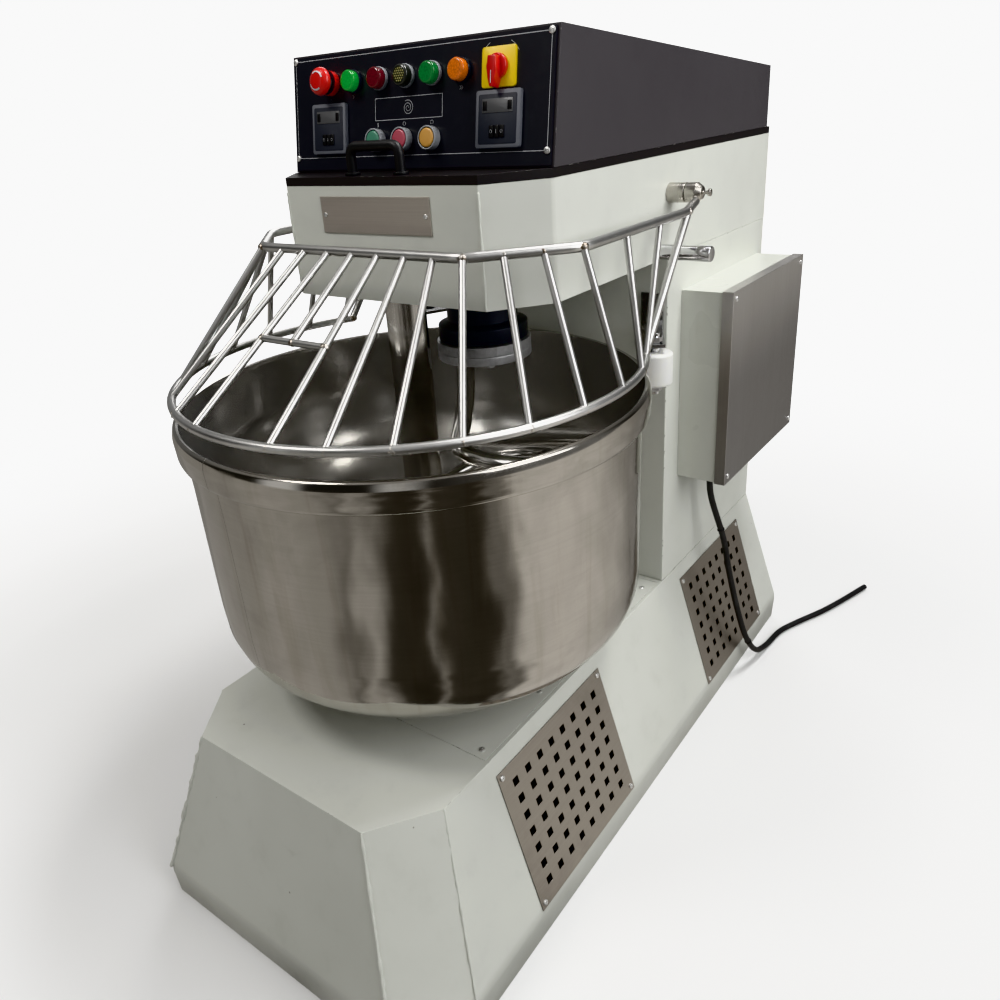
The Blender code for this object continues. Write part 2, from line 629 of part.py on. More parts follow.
# the cable's line: down from the gland, past the base and away across the floor
CABLE = [(GLAND_X, GLAND_Y, 0.5300), (GLAND_X, GLAND_Y, 0.5080), (GLAND_X, GLAND_Y, 0.4860),
         (0.2770, 0.5160, 0.4400), (0.2960, 0.5400, 0.3450), (0.3080, 0.5480, 0.2700),
         (0.3240, 0.5620, 0.1800), (0.3370, 0.5900, 0.0950), (0.3440, 0.6400, 0.0320),
         (0.3480, 0.7000, 0.0085), (0.3560, 0.7700, 0.0065), (0.3800, 0.8300, 0.0065),
         (0.4160, 0.9060, 0.0065), (0.4470, 0.9900, 0.0065), (0.4700, 1.0600, 0.0065)]
CABLE_R = 0.0060


def grown(limits, amount):
    """A range widened by amount at both ends."""
    return (limits[0] - amount, limits[1] + amount)


def build_electrical_box():
    ebox = box("electrical_box", (BODY_HALF + GAP, EBOX_X1 - 0.0025), EBOX_Y, EBOX_Z)
    cut(ebox, box("ebox_hollow", (BODY_HALF + 0.0025, EBOX_X1 + 0.02),
                  grown(EBOX_Y, -EBOX_SHEET), grown(EBOX_Z, -EBOX_SHEET)))
    gland_centre = (GLAND_X, GLAND_Y, EBOX_Z[0])
    join(ebox, baked(lathe("gland", GLAND, 12, gland_centre)))
    cut(ebox, cylinder("gland_bore", gland_centre, 0.0073, 0.03, seg=16))
    finish(ebox, "electrical_box", "paint")

    lid = box("electrical_box_cover", (EBOX_X1 - LID_DEPTH, EBOX_X1),
              grown(EBOX_Y, 0.0022), grown(EBOX_Z, 0.0022))
    cut(lid, box("lid_hollow", (EBOX_X1 - 0.03, EBOX_X1 - LID_SHEET),
                 grown(EBOX_Y, 0.0006), grown(EBOX_Z, 0.0006)))
    finish(lid, "electrical_box_cover", "stainless")

    rack = box("contactor_rack", (BODY_HALF + 0.0032, BODY_HALF + 0.0055),
               grown(EBOX_Y, -RACK_MARGIN), grown(EBOX_Z, -RACK_MARGIN))
    back_x = BODY_HALF + 0.0050
    for z0, z1, depth in CONTACTOR_ROWS:
        for col in range(CONTACTOR_COLS):
            y0 = EBOX_Y[0] + 0.045 + col * CONTACTOR_PITCH
            join(rack, box("contactor", (back_x, back_x + depth), (y0, y0 + CONTACTOR_W), (z0, z1)))
    finish(rack, "contactor_rack", "grey_plastic")


def smooth_line(points, per):
    """Points along a Catmull-Rom line, per steps to each span."""
    line = []
    pts = [Vector(p) for p in points]
    pts = [2 * pts[0] - pts[1]] + pts + [2 * pts[-1] - pts[-2]]
    for a, b, c, d in zip(pts, pts[1:], pts[2:], pts[3:]):
        for j in range(per):
            t = j / per
            line.append(0.5 * ((2 * b) + (c - a) * t + (2 * a - 5 * b + 4 * c - d) * t * t
                               + (3 * b - a - 3 * c + d) * t ** 3))
    line.append(pts[-2])
    return line


def build_cable():
    cable = tube("power_cable", smooth_line(CABLE, 2), CABLE_R)
    finish(cable, "power_cable", "rubber", True)


# ------------------------------------------------------------------ bowl
# radius, z: down the outside, then up the inside
BOWL_PROFILE = [
    (0.3500, BOWL_TOP), (0.3548, 0.7915), (BOWL_BAND_R, 0.7800), (0.3545, 0.7480),
    (0.3435, 0.7030), (0.3412, 0.5100), (0.3385, 0.4680), (0.3290, 0.4380), (0.3110, 0.4150),
    (0.2800, 0.4000), (0.2100, 0.3885), (0.0920, BOWL_BOTTOM), (0.0, BOWL_BOTTOM),
    (0.0, 0.3800), (0.0920, 0.3803), (0.2090, 0.3930), (0.2770, 0.4044), (0.3078, 0.4186),
    (0.3252, 0.4404), (0.3343, 0.4690), (0.3370, 0.5105), (0.3392, 0.7030), (0.3482, 0.7820),
    (0.3470, 0.7925)]
HUB_TOP = BOWL_BOTTOM - GAP
BOWL_SHAFT = [(0.0, HUB_TOP), (0.0880, HUB_TOP), (0.0880, 0.3625), (0.0400, 0.3560),
              (0.0400, 0.3420), (BOWL_SHAFT_R, 0.3420), (BOWL_SHAFT_R, 0.0700), (0.0, 0.0700)]
BOWL_BORE_R = BOWL_SHAFT_R + 0.0007
BEARING = [(0.0640, 0.3250), (0.0640, 0.1880), (0.1100, 0.1820), (0.1100, 0.1680),
           (BOWL_BORE_R, 0.1680), (BOWL_BORE_R, 0.3250)]
BRIDGE_X, BRIDGE_Y, BRIDGE_Z = both(0.2690), both(0.0900), (0.1600, 0.1700)


def hub_pulley(name, y, radius, z_range, hub_r, bore_r, hub_z, seg=28):
    """A belt pulley with a raised hub and a bore."""
    (z0, z1), (hub_z0, hub_z1) = z_range, hub_z
    pulley = lathe(name, [(radius, z1), (radius, z0), (hub_r, z0), (hub_r, hub_z0),
                          (bore_r, hub_z0), (bore_r, hub_z1), (hub_r, hub_z1), (hub_r, z1)],
                   seg, (0, y, 0))
    finish(pulley, name, "cast_grey")


def build_bowl():
    finish(lathe("bowl", BOWL_PROFILE, 40), "bowl", "mirror_stainless")
    finish(lathe("bowl_shaft", BOWL_SHAFT, 24), "bowl_shaft", "cast_grey")
    hub_pulley("bowl_pulley", 0, BOWL_PULLEY_R, BOWL_PULLEY_Z, hub_r=0.0450,
               bore_r=BOWL_BORE_R, hub_z=(0.0920, 0.1420))
    # the bearing stands on a plate that bridges the base
    bearing = lathe("bowl_bearing_housing", BEARING, 20)
    bridge = box("bridge", BRIDGE_X, BRIDGE_Y, BRIDGE_Z)
    cut(bridge, cylinder("bridge_hole", (0, 0, 0.165), 0.0300, 0.04, seg=20))
    bearing = baked(bearing)
    join(bearing, baked(bridge))
    finish(bearing, "bowl_bearing_housing", "cast_grey")


# ------------------------------------------------------------------ motors, pulleys and belts
BELT_T = 0.008
BELT_INSET = 0.004              # from the pulley's faces to the belt's edges
BELT_SLACK = 0.0022             # the faceted loop stays outside both round pulleys


def motor(name, y, z_range, radius, plate_z, plate_half, plate_y, shaft_up):
    """A flanged motor standing along Z, on a mounting plate across the body."""
    z0, z1 = z_range
    middle = (z0 + z1) / 2
    cowl_z = z0 - 0.017 if shaft_up else z1 + 0.017
    body = cylinder(name, (0, y, middle), radius, z1 - z0, seg=24)
    join(body,
         box("mount", both(plate_half), plate_y, (plate_z - 0.005, plate_z + 0.005)),
         cylinder("fan_cowl", (0, y, cowl_z), radius * 0.92, 0.040, seg=24),
         box("terminal_box", (radius * 0.7, radius + 0.045), (y - 0.045, y + 0.045),
             (middle - 0.04, middle + 0.05)))
    finish(body, name, "motor_blue")


def motor_pulley(name, y, radius, z_range, shaft_r, shaft_z):
    """A motor shaft with its belt pulley."""
    (z0, z1), (shaft_z0, shaft_z1) = z_range, shaft_z
    pulley = lathe(name, [(0.0, shaft_z1), (shaft_r, shaft_z1), (shaft_r, z1), (radius, z1),
                          (radius, z0), (shaft_r, z0), (shaft_r, shaft_z0), (0.0, shaft_z0)],
                   20, (0, y, 0))
    finish(pulley, name, "cast_grey")


def belt_outline(y0, r0, y1, r1, seg=18):
    """The line of an open belt around a large circle at y0 and a small one at y1."""
    wrap = math.acos((r0 - r1) / (y1 - y0))     # half wrap of the small circle, from +Y
    points = []
    for k in range(seg + 1):                    # around the large circle, away from the small one
        t = math.pi / 2 + wrap + (2 * math.pi - 2 * wrap) * k / seg
        points.append((r0 * math.cos(t), y0 + r0 * math.sin(t)))
    for k in range(seg // 2 + 1):
        t = math.pi / 2 - wrap + 2 * wrap * k / (seg // 2)
        points.append((r1 * math.cos(t), y1 + r1 * math.sin(t)))
    return points


def belt(name, y0, r0, y1, r1, pulley_z):
    z0, z1 = grown(pulley_z, -BELT_INSET)
    inner0, inner1 = r0 + BELT_SLACK, r1 + BELT_SLACK
    loop = prism(name, belt_outline(y0, inner0 + BELT_T, y1, inner1 + BELT_T), z0, z1)
    cut(loop, prism(name + "_inside", belt_outline(y0, inner0, y1, inner1), z0 - 0.02, z1 + 0.02))
    finish(loop, name, "rubber")


def build_drives():
    motor("spindle_motor", SPINDLE_MOTOR_Y, z_range=(0.600, 0.884), radius=0.105, plate_z=0.885,
          plate_half=BODY_HALF - SHEET - 0.0006, plate_y=(0.400, 0.800), shaft_up=True)
    motor("bowl_motor", BOWL_MOTOR_Y, z_range=(0.196, 0.420), radius=0.085, plate_z=0.195,
          plate_half=BODY_HALF - SHEET - 0.0300, plate_y=(0.440, 0.700), shaft_up=False)
    motor_pulley("spindle_motor_pulley", SPINDLE_MOTOR_Y, SPINDLE_MOTOR_PULLEY_R,
                 SPINDLE_PULLEY_Z, shaft_r=0.0140, shaft_z=(0.8905, 1.0500))
    motor_pulley("bowl_motor_pulley", BOWL_MOTOR_Y, BOWL_MOTOR_PULLEY_R,
                 BOWL_PULLEY_Z, shaft_r=0.0120, shaft_z=(0.0950, 0.1895))
    belt("spindle_belt", SPINDLE_Y, SPINDLE_PULLEY_R, SPINDLE_MOTOR_Y, SPINDLE_MOTOR_PULLEY_R,
         SPINDLE_PULLEY_Z)
    belt("bowl_belt", 0.0, BOWL_PULLEY_R, BOWL_MOTOR_Y, BOWL_MOTOR_PULLEY_R, BOWL_PULLEY_Z)


# ------------------------------------------------------------------ spindle, tool, breaker bar
# turned profiles: radius, z
SPINDLE_HOUSING = [
    (SPINDLE_HOUSING_R, 0.9285), (SPINDLE_HOUSING_R, 0.8560), (0.0740, 0.8500), (0.0740, 0.8255),
    (0.0264, 0.8255), (0.0264, 0.9900), (0.0460, 0.9900), (0.0460, 0.9500), (0.0750, 0.9500),
    (0.0750, 0.9340), (SPINDLE_HOUSING_R, 0.9340)]
SPINDLE_SHAFT = [
    (0.0, 1.0700), (SPINDLE_R, 1.0700), (SPINDLE_R, 0.8235), (FLANGE_R, 0.8235),
    (FLANGE_R, FLANGE_SEAM + 0.0004), (0.0, FLANGE_SEAM + 0.0004)]
TOOL_FLANGE = [
    (0.0, FLANGE_SEAM), (FLANGE_R, FLANGE_SEAM), (FLANGE_R, 0.7950), (FLANGE_R - 0.003, 0.7930),
    (0.0, 0.7930)]
BREAKER = [
    (0.0, 0.9600), (BREAKER_R, 0.9600), (BREAKER_R, 0.9288), (0.0300, 0.9288), (0.0300, 0.4420),
    (0.0270, 0.4260), (0.0180, 0.4180), (0.0, 0.4160)]

TOOL_ROD_R = 0.0150
# the arm from the flange to the coil: radius and angle about the spindle in degrees, z
TOOL_ARM = [(0.058, 271, 0.8000), (0.058, 271, 0.7720), (0.060, 268, 0.7300),
            (0.068, 265, 0.6900), (0.082, 266, 0.6620)]
COIL_START, COIL_SWEEP, COIL_STEPS = 276.0, 470.0, 26       # degrees, degrees, spans
COIL_Z0, COIL_Z1 = 0.6480, 0.4320
COIL_R, COIL_OPENING, COIL_CLOSING = 0.092, 0.026, 0.030    # first radius, growth, tip's return


def spiral_points():
    """The arm drops from the flange, swings out and winds down in an opening coil."""
    stations = list(TOOL_ARM)
    for k in range(COIL_STEPS + 1):
        t = k / COIL_STEPS
        r = (COIL_R + COIL_OPENING * min(1.0, t * 1.6)
             - COIL_CLOSING * max(0.0, (t - 0.80) / 0.20) ** 1.5)
        stations.append((r, COIL_START + COIL_SWEEP * t, COIL_Z0 + (COIL_Z1 - COIL_Z0) * t))
    return [(r * math.cos(math.radians(a)), SPINDLE_Y + r * math.sin(math.radians(a)), z)
            for r, a, z in stations]


def build_spindle_and_tools():
    centre = (0, SPINDLE_Y, 0)
    housing = lathe("spindle_housing", SPINDLE_HOUSING, 24, centre)
    finish(housing, "spindle_housing", "dark_steel")
    finish(lathe("spindle_shaft", SPINDLE_SHAFT, 28, centre), "spindle_shaft", "cast_grey")
    hub_pulley("spindle_pulley", SPINDLE_Y, SPINDLE_PULLEY_R, SPINDLE_PULLEY_Z, hub_r=0.0420,
               bore_r=SPINDLE_R + 0.0006, hub_z=(0.9960, 1.0560))
    tool = tube("spiral_tool", spiral_points(), TOOL_ROD_R)
    join(tool, baked(lathe("tool_flange", TOOL_FLANGE, 28, centre)))
    finish(tool, "spiral_tool", "stainless", True)
    finish(lathe("breaker_bar", BREAKER, 20), "breaker_bar", "stainless", True)


# ------------------------------------------------------------------ guide rollers on the rim band
ROLLER_R, ROLLER_ANGLE = 0.027, math.radians(46.0)
ROLLER_Z0, ROLLER_Z1 = 0.748, 0.8015
ROLLER_BORE_R, ROLLER_PIN_R = 0.0067, 0.0060
ROLLER = [(ROLLER_R - 0.004, ROLLER_Z1), (ROLLER_R, ROLLER_Z1 - 0.003),
          (ROLLER_R, ROLLER_Z0 + 0.003), (ROLLER_R - 0.004, ROLLER_Z0),
          (ROLLER_BORE_R, ROLLER_Z0), (ROLLER_BORE_R, ROLLER_Z1)]
BRACKET_X, BRACKET_HALF, BRACKET_T, BRACKET_Z = 0.2130, 0.020, 0.005, (0.7720, 0.8700)
ARM_W, ARM_T, ARM_EXTRA = 0.030, 0.006, 0.026
NUT_R, NUT_H = 0.0105, 0.009


def build_roller(side, side_name):
    """A roller beside the bowl's rim and its bracket on the column's front."""
    distance = BOWL_BAND_R + ROLLER_R + 0.0010
    x, y = side * distance * math.cos(ROLLER_ANGLE), distance * math.sin(ROLLER_ANGLE)
    roller = lathe("guide_roller", ROLLER, 20, (x, y, 0))
    finish(roller, f"guide_roller_{side_name}", "nylon", True)

    pin = between("pin", (x, y, ROLLER_Z0 - 0.016), (x, y, ROLLER_Z1 + 0.030), ROLLER_PIN_R)
    foot_x = side * BRACKET_X
    reach = Vector((x - foot_x, y - COLUMN_FRONT, 0))
    middle = Vector(((x + foot_x) / 2, (y + COLUMN_FRONT) / 2 - 0.001, ROLLER_Z1 + 0.012))
    arm = block("arm", (ARM_W, reach.length + ARM_EXTRA, ARM_T), Matrix.Translation(middle)
                @ Matrix.Rotation(math.atan2(-reach.x, reach.y), 4, "Z"))
    front = COLUMN_FRONT - GAP
    cut(arm, box("arm_trim", both(0.5), (front, 0.6), (0.7, 0.9)))
    bracket = box("bracket", (foot_x - BRACKET_HALF, foot_x + BRACKET_HALF),
                  (front - BRACKET_T, front), BRACKET_Z)
    join(bracket, baked(arm), pin,
         cylinder("nut", (x, y, ROLLER_Z1 + 0.020), NUT_R, NUT_H, seg=6),
         cylinder("low_nut", (x, y, ROLLER_Z0 - 0.006), NUT_R, NUT_H, seg=6))
    finish(bracket, f"roller_bracket_{side_name}", "chrome")


# ------------------------------------------------------------------ bowl guard
RING_R, RING_Z = 0.3475, 0.8290
RING_START, RING_END, RING_STEPS = 31.0, -211.0, 56     # degrees, degrees, spans
RAIL_Z = 1.0085
ROD_R, SPOKE_R = 0.0062, 0.0048
FRONT_X, FRONT_Y = 0.1865, -0.0912      # the rail's front bends
SIDE_X, SIDE_Y = 0.2941, 0.0160         # the rail's side bends
RAIL_END = 0.3420
# the right half of the rail, from the front bend to its raised rear end
RAIL_HALF = [(FRONT_X, FRONT_Y, RAIL_Z), (SIDE_X, SIDE_Y, RAIL_Z),
             (SIDE_X, RAIL_END - 0.02, RAIL_Z), (SIDE_X - 0.006, RAIL_END + 0.0242, RAIL_Z + 0.0095)]
CORNER_X, CORNER_Y = SIDE_X - FRONT_X, SIDE_Y - FRONT_Y
# spokes of the right half, front to back: x, y on the rail, then the foot's angle on the ring
SPOKES = [
    (FRONT_X / 4, FRONT_Y, -78.0), (FRONT_X * 2 / 4, FRONT_Y, -65.7),
    (FRONT_X * 3 / 4, FRONT_Y, -52.6), (FRONT_X, FRONT_Y, -39.3),
    (FRONT_X + CORNER_X / 3, FRONT_Y + CORNER_Y / 3, -25.5),
    (FRONT_X + CORNER_X * 2 / 3, FRONT_Y + CORNER_Y * 2 / 3, -11.3),
    (SIDE_X, SIDE_Y, 3.0), (SIDE_X, 0.128, 16.6), (SIDE_X, 0.231, 28.0), (SIDE_X, 0.326, 30.5)]
CROSSBAR_DROP = 0.512           # share of the way down the spokes beside the middle one


def ring_at(degrees):
    a = math.radians(degrees)
    return Vector((RING_R * math.cos(a), RING_R * math.sin(a), RING_Z))


def mirrored(point):
    x, y, z = point
    return Vector((-x, y, z))


def spoke(top, foot, radius=SPOKE_R):
    return between("spoke", top, foot, radius, 8)


def build_guard():
    ring_points = [ring_at(RING_START + (RING_END - RING_START) * k / RING_STEPS)
                   for k in range(RING_STEPS + 1)]
    ring = tube("bowl_guard", ring_points, ROD_R)
    rail_points = [mirrored(p) for p in reversed(RAIL_HALF)] + RAIL_HALF
    rods = [tube("rail", rail_points, ROD_R + 0.0006)]
    for x, y, angle in SPOKES:
        top, foot = Vector((x, y, RAIL_Z)), ring_at(angle)
        radius = ROD_R if (x, y, angle) == SPOKES[-1] else SPOKE_R
        rods.append(spoke(top, foot, radius))
        rods.append(spoke(mirrored(top), mirrored(foot), radius))
    # the filling opening: the middle spoke stops at a short crossbar
    x, y, angle = SPOKES[0]
    bar_end = Vector((x, y, RAIL_Z)).lerp(ring_at(angle), CROSSBAR_DROP)
    rods.append(spoke(bar_end, mirrored(bar_end)))
    rods.append(spoke((0, FRONT_Y, RAIL_Z), (0, bar_end.y, bar_end.z)))
    join_all(ring, rods, "guard_rods")
    for side in (-1, 1):
        cut(ring, between("cap_room", (side * 0.262, PIVOT_Y, PIVOT_Z),
                          (side * 0.33, PIVOT_Y, PIVOT_Z), PIVOT_CAP_R + 0.0004, 24))
    finish(ring, "bowl_guard", "stainless")


# turned profiles along X: radius, distance out from the body's side
PIVOT_BOSS = [(0.0, 0.0450), (0.0085, 0.0450), (0.0085, 0.0285), (PIVOT_CAP_R, 0.0285),
              (PIVOT_CAP_R, GAP), (0.0, GAP)]
PIVOT_CAP = [(0.0, 0.0690), (0.0056, 0.0685), (0.0056, 0.0640), (0.0026, 0.0635),
             (0.0026, 0.0565), (0.0095, 0.0552), (PIVOT_CAP_R, 0.0470), (PIVOT_CAP_R, 0.0300),
             (0.0091, 0.0300), (0.0091, 0.0460), (0.0, 0.0460)]
STOP_BAR = [(0.0, 0.0880), (0.0105, 0.0880), (0.0120, 0.0865), (0.0120, GAP), (0.0, GAP)]
STOP_Y, STOP_Z = 0.3450, 0.9435
SWITCH_W, SWITCH_HALF_Y, SWITCH_HALF_Z = 0.030, 0.030, 0.018


def build_guard_fittings():
    for side, side_name in SIDES:
        centre = (side * BODY_HALF, PIVOT_Y, PIVOT_Z)
        for part, profile in (("boss", PIVOT_BOSS), ("cap", PIVOT_CAP)):
            turned = lathe(part, profile, 16, centre, (side, 0, 0))
            finish(turned, f"guard_pivot_{part}_{side_name}", "stainless", True)

    stop = lathe("guard_stop_bar", STOP_BAR, 20, (BODY_HALF, STOP_Y, STOP_Z), (1, 0, 0))
    finish(stop, "guard_stop_bar", "chrome", True)

    # inside the head's left wall, at the pivot
    x0 = -BODY_HALF + SHEET + 0.0006
    switch = box("guard_limit_switch", (x0, x0 + SWITCH_W),
                 (PIVOT_Y - SWITCH_HALF_Y, PIVOT_Y + SWITCH_HALF_Y),
                 (PIVOT_Z - SWITCH_HALF_Z, PIVOT_Z + SWITCH_HALF_Z))
    join(switch, cylinder("plunger", (x0 + SWITCH_W / 2, PIVOT_Y - 0.036, PIVOT_Z), 0.0050, 0.016,
                          (0, 1, 0), 12))
    finish(switch, "guard_limit_switch", "grey_plastic")


# ------------------------------------------------------------------ the whole machine
build_base()
build_column()
build_head()
build_hood()
build_hood_base_plate()
build_hood_handle()
build_panel()
build_lamps_and_buttons()
build_selector()
build_timers()
build_electrical_box()
build_cable()
build_bowl()
build_drives()
build_spindle_and_tools()
for roller_side, roller_side_name in SIDES:
    build_roller(roller_side, roller_side_name)
build_guard()
build_guard_fittings()
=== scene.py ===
"""Looks of a spiral dough mixer: detailed skins and materials over the CAD frame.

Metres, +Z up, the floor at z 0. The bowl turns about the Z axis. The control panel faces -Y,
the column stands towards +Y, and the machine's "right" is +X.
"""
import json
import math

import bmesh
import bpy
from mathutils import Matrix, Vector, noise

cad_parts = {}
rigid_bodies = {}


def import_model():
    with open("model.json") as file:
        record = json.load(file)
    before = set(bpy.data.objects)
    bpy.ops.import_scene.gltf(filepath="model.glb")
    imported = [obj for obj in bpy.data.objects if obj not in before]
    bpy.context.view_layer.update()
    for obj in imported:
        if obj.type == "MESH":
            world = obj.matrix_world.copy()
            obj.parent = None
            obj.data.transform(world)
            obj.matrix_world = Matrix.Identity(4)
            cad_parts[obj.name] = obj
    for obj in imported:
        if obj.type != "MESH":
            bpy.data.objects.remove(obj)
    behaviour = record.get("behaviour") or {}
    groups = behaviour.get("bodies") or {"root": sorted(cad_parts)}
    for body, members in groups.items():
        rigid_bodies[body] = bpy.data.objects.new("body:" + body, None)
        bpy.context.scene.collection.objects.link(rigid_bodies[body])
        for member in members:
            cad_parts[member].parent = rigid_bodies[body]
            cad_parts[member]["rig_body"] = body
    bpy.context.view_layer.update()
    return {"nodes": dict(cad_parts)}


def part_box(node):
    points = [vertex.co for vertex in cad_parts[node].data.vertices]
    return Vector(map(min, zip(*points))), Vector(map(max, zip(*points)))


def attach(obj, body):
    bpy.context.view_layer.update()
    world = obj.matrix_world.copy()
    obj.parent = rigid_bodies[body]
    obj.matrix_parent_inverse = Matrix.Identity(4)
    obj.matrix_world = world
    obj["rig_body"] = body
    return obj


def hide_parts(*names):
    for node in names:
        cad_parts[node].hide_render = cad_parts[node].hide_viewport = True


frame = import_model()
NODES = frame["nodes"]
rad = math.radians

# ================================================================== node trees
MATERIALS = {}


class Nodes:
    """Builds one node tree. Materials use object coordinates, so they travel with their body."""

    def __init__(self, owner, output="OutputMaterial", coords="Object"):
        owner.use_nodes = True
        self.tree = owner.node_tree
        self.tree.nodes.clear()
        self.output = self.new(output)
        self.coords = self.new("TexCoord").outputs[coords]

    def new(self, kind, *values, **inputs):
        """Adds a node; values fill its first inputs in order, the rest go by name."""
        node = self.tree.nodes.new("ShaderNode" + kind)
        for socket, value in zip(node.inputs, values):
            self.put(socket, value)
        for name, value in inputs.items():
            self.put(node.inputs[name.replace("_", " ")], value)
        return node

    def put(self, socket, value):
        if isinstance(value, bpy.types.NodeSocket):
            self.tree.links.new(value, socket)
        elif value is not None:
            is_rgb = socket.type == "RGBA" and len(value) == 3
            socket.default_value = (*value, 1.0) if is_rgb else value

    def math(self, operation, a, b=None, clamp=False):
        node = self.new("Math", a, b)
        node.operation = operation
        node.use_clamp = clamp
        return node.outputs[0]

    def add(self, a, b):
        return self.math("ADD", a, b)

    def sub(self, a, b):
        return self.math("SUBTRACT", a, b)

    def mul(self, a, b):
        return self.math("MULTIPLY", a, b)

    def invert(self, value):
        return self.math("SUBTRACT", 1.0, value, clamp=True)

    def hypot(self, a, b):
        return self.math("SQRT", self.add(self.mul(a, a), self.mul(b, b)))

    def mix(self, factor, a, b, blend="MIX"):
        node = self.new("Mix")
        node.data_type = "RGBA"
        node.blend_type = blend
        for index, value in ((0, factor), (6, a), (7, b)):
            self.put(node.inputs[index], value)
        return node.outputs[2]

    def layer(self, below, colour, mask, amount):
        """Lays a colour over another where the mask is on, no stronger than amount."""
        return self.mix(self.mul(mask, amount), below, colour)

    def remap(self, value, source=(0, 1), target=(0, 1), kind="LINEAR"):
        node = self.new("MapRange", Value=value, From_Min=source[0], From_Max=source[1],
                        To_Min=target[0], To_Max=target[1])
        node.interpolation_type = kind
        return node.outputs["Result"]

    def band(self, value, low, high):
        """0 below low, 1 above high, smooth between."""
        return self.remap(value, source=(low, high), kind="SMOOTHSTEP")

    def to(self, value, low, high):
        """Takes a 0 to 1 value to the range low to high."""
        return self.remap(value, target=(low, high))

    def noise(self, scale=1.0, detail=3, rough=0.5, distort=0.0, stretch=None, vector=None):
        """Noise over object space, over it scaled per axis by stretch, or over a vector."""
        node = self.new("TexNoise", Scale=scale, Detail=detail, Roughness=rough,
                        Distortion=distort)
        if stretch:
            vector = self.new("Mapping", Vector=self.coords, Scale=stretch).outputs[0]
        self.put(node.inputs["Vector"], self.coords if vector is None else vector)
        return node.outputs["Fac"]

    def voronoi(self, scale):
        return self.new("TexVoronoi", Scale=scale, Vector=self.coords).outputs

    def xyz(self, vector=None):
        return self.new("SeparateXYZ", self.coords if vector is None else vector).outputs

    def edge(self):
        """The wear mask that skin() leaves along rounded corners."""
        node = self.new("Attribute")
        node.attribute_name = "edge"
        return node.outputs["Fac"]

    def bump(self, height, strength, depth, over=None):
        return self.new("Bump", Strength=strength, Distance=depth, Height=height,
                        Normal=over).outputs[0]

    def ramp(self, factor, stops, cast):
        """A colour ramp from (position, grey level) stops, each level tinted by cast."""
        node = self.new("ValToRGB", Fac=factor)
        elements = node.color_ramp.elements
        for position, level in stops:
            end = {0.0: 0, 1.0: -1}.get(position)
            element = elements.new(position) if end is None else elements[end]
            element.position = position
            element.color = (*(level * part for part in cast), 1)
        return node.outputs["Color"]

    def mix_shader(self, factor, a, b):
        return self.new("MixShader", factor, a, b).outputs[0]

    def bsdf(self, base, rough, metal=0.0, normal=None, **extra):
        return self.new("BsdfPrincipled", Base_Color=base, Roughness=rough, Metallic=metal,
                        Normal=normal, **extra).outputs[0]

    def finish(self, shader):
        self.put(self.output.inputs[0], shader)

    def surface(self, *args, **kwargs):
        self.finish(self.bsdf(*args, **kwargs))


def material(name):
    MATERIALS[name] = bpy.data.materials.new(name)
    return Nodes(MATERIALS[name])


def tint(colour, gain):
    return tuple(min(1.0, part * gain) for part in colour)


# ================================================================== kinds of material
UNDERCOAT = (0.16, 0.145, 0.12)


def paint(name, base, under=UNDERCOAT, rough=0.40, grime=0.5, wear=0.5, floor_dirt=False):
    """Sprayed enamel on sheet: orange peel, slow colour drift, rubbed and chipped corners."""
    m = material(name)
    drift = m.noise(scale=2.6, rough=0.55)
    mottling = m.noise(scale=21, detail=5, rough=0.62)
    colour = m.mix(m.band(drift, 0.32, 0.70), tint(base, 1.03), tint(base, 0.94))
    colour = m.layer(colour, tint(base, 0.70), m.band(mottling, 0.50, 0.78), 0.22 * grime)
    # long rubbed marks
    rub = m.noise(detail=6, rough=0.62, distort=0.6, stretch=(9.0, 9.0, 38.0))
    rubbed = m.mul(m.band(rub, 0.66, 0.76), m.band(m.noise(scale=3.1, detail=2), 0.52, 0.64))
    colour = m.layer(colour, tint(base, 0.55), rubbed, 0.35 * grime)
    # small specks, in a fifth of the cells
    cells = m.voronoi(scale=23.0)
    picked = m.xyz(cells["Color"])[0]
    speck = m.mul(m.math("LESS_THAN", cells["Distance"], 0.035),
                  m.math("GREATER_THAN", picked, 0.80))
    colour = m.layer(colour, under, speck, 0.75)
    # chipped and rubbed corners
    edge = m.edge()
    chip_noise = m.noise(scale=62, detail=4, rough=0.65)
    chip = m.mul(m.math("GREATER_THAN", edge, 0.45),
                 m.band(chip_noise, 0.64 - 0.05 * wear, 0.66 - 0.05 * wear))
    colour = m.layer(colour, under, chip, min(1.0, wear * 1.2))
    colour = m.layer(colour, tint(base, 1.20), edge, 0.10)
    if floor_dirt:
        low = m.invert(m.band(m.xyz()[2], 0.0, 0.075))
        patches = m.to(m.noise(scale=17, detail=4, rough=0.6), 0.10, 0.55)
        colour = m.layer(colour, (0.20, 0.19, 0.165), low, patches)
    roughness = m.to(m.noise(scale=7), rough - 0.07, rough + 0.09)
    peel = m.noise(scale=640, detail=2)
    wave = m.noise(scale=7.0, detail=2, rough=0.45)
    normal = m.bump(wave, strength=0.22, depth=0.0040)
    normal = m.bump(peel, strength=0.13, depth=0.00035, over=normal)
    normal = m.bump(m.sub(1.0, chip), strength=0.35, depth=0.0004, over=normal)
    m.surface(colour, roughness, 0.0, normal, Specular_IOR_Level=0.45)


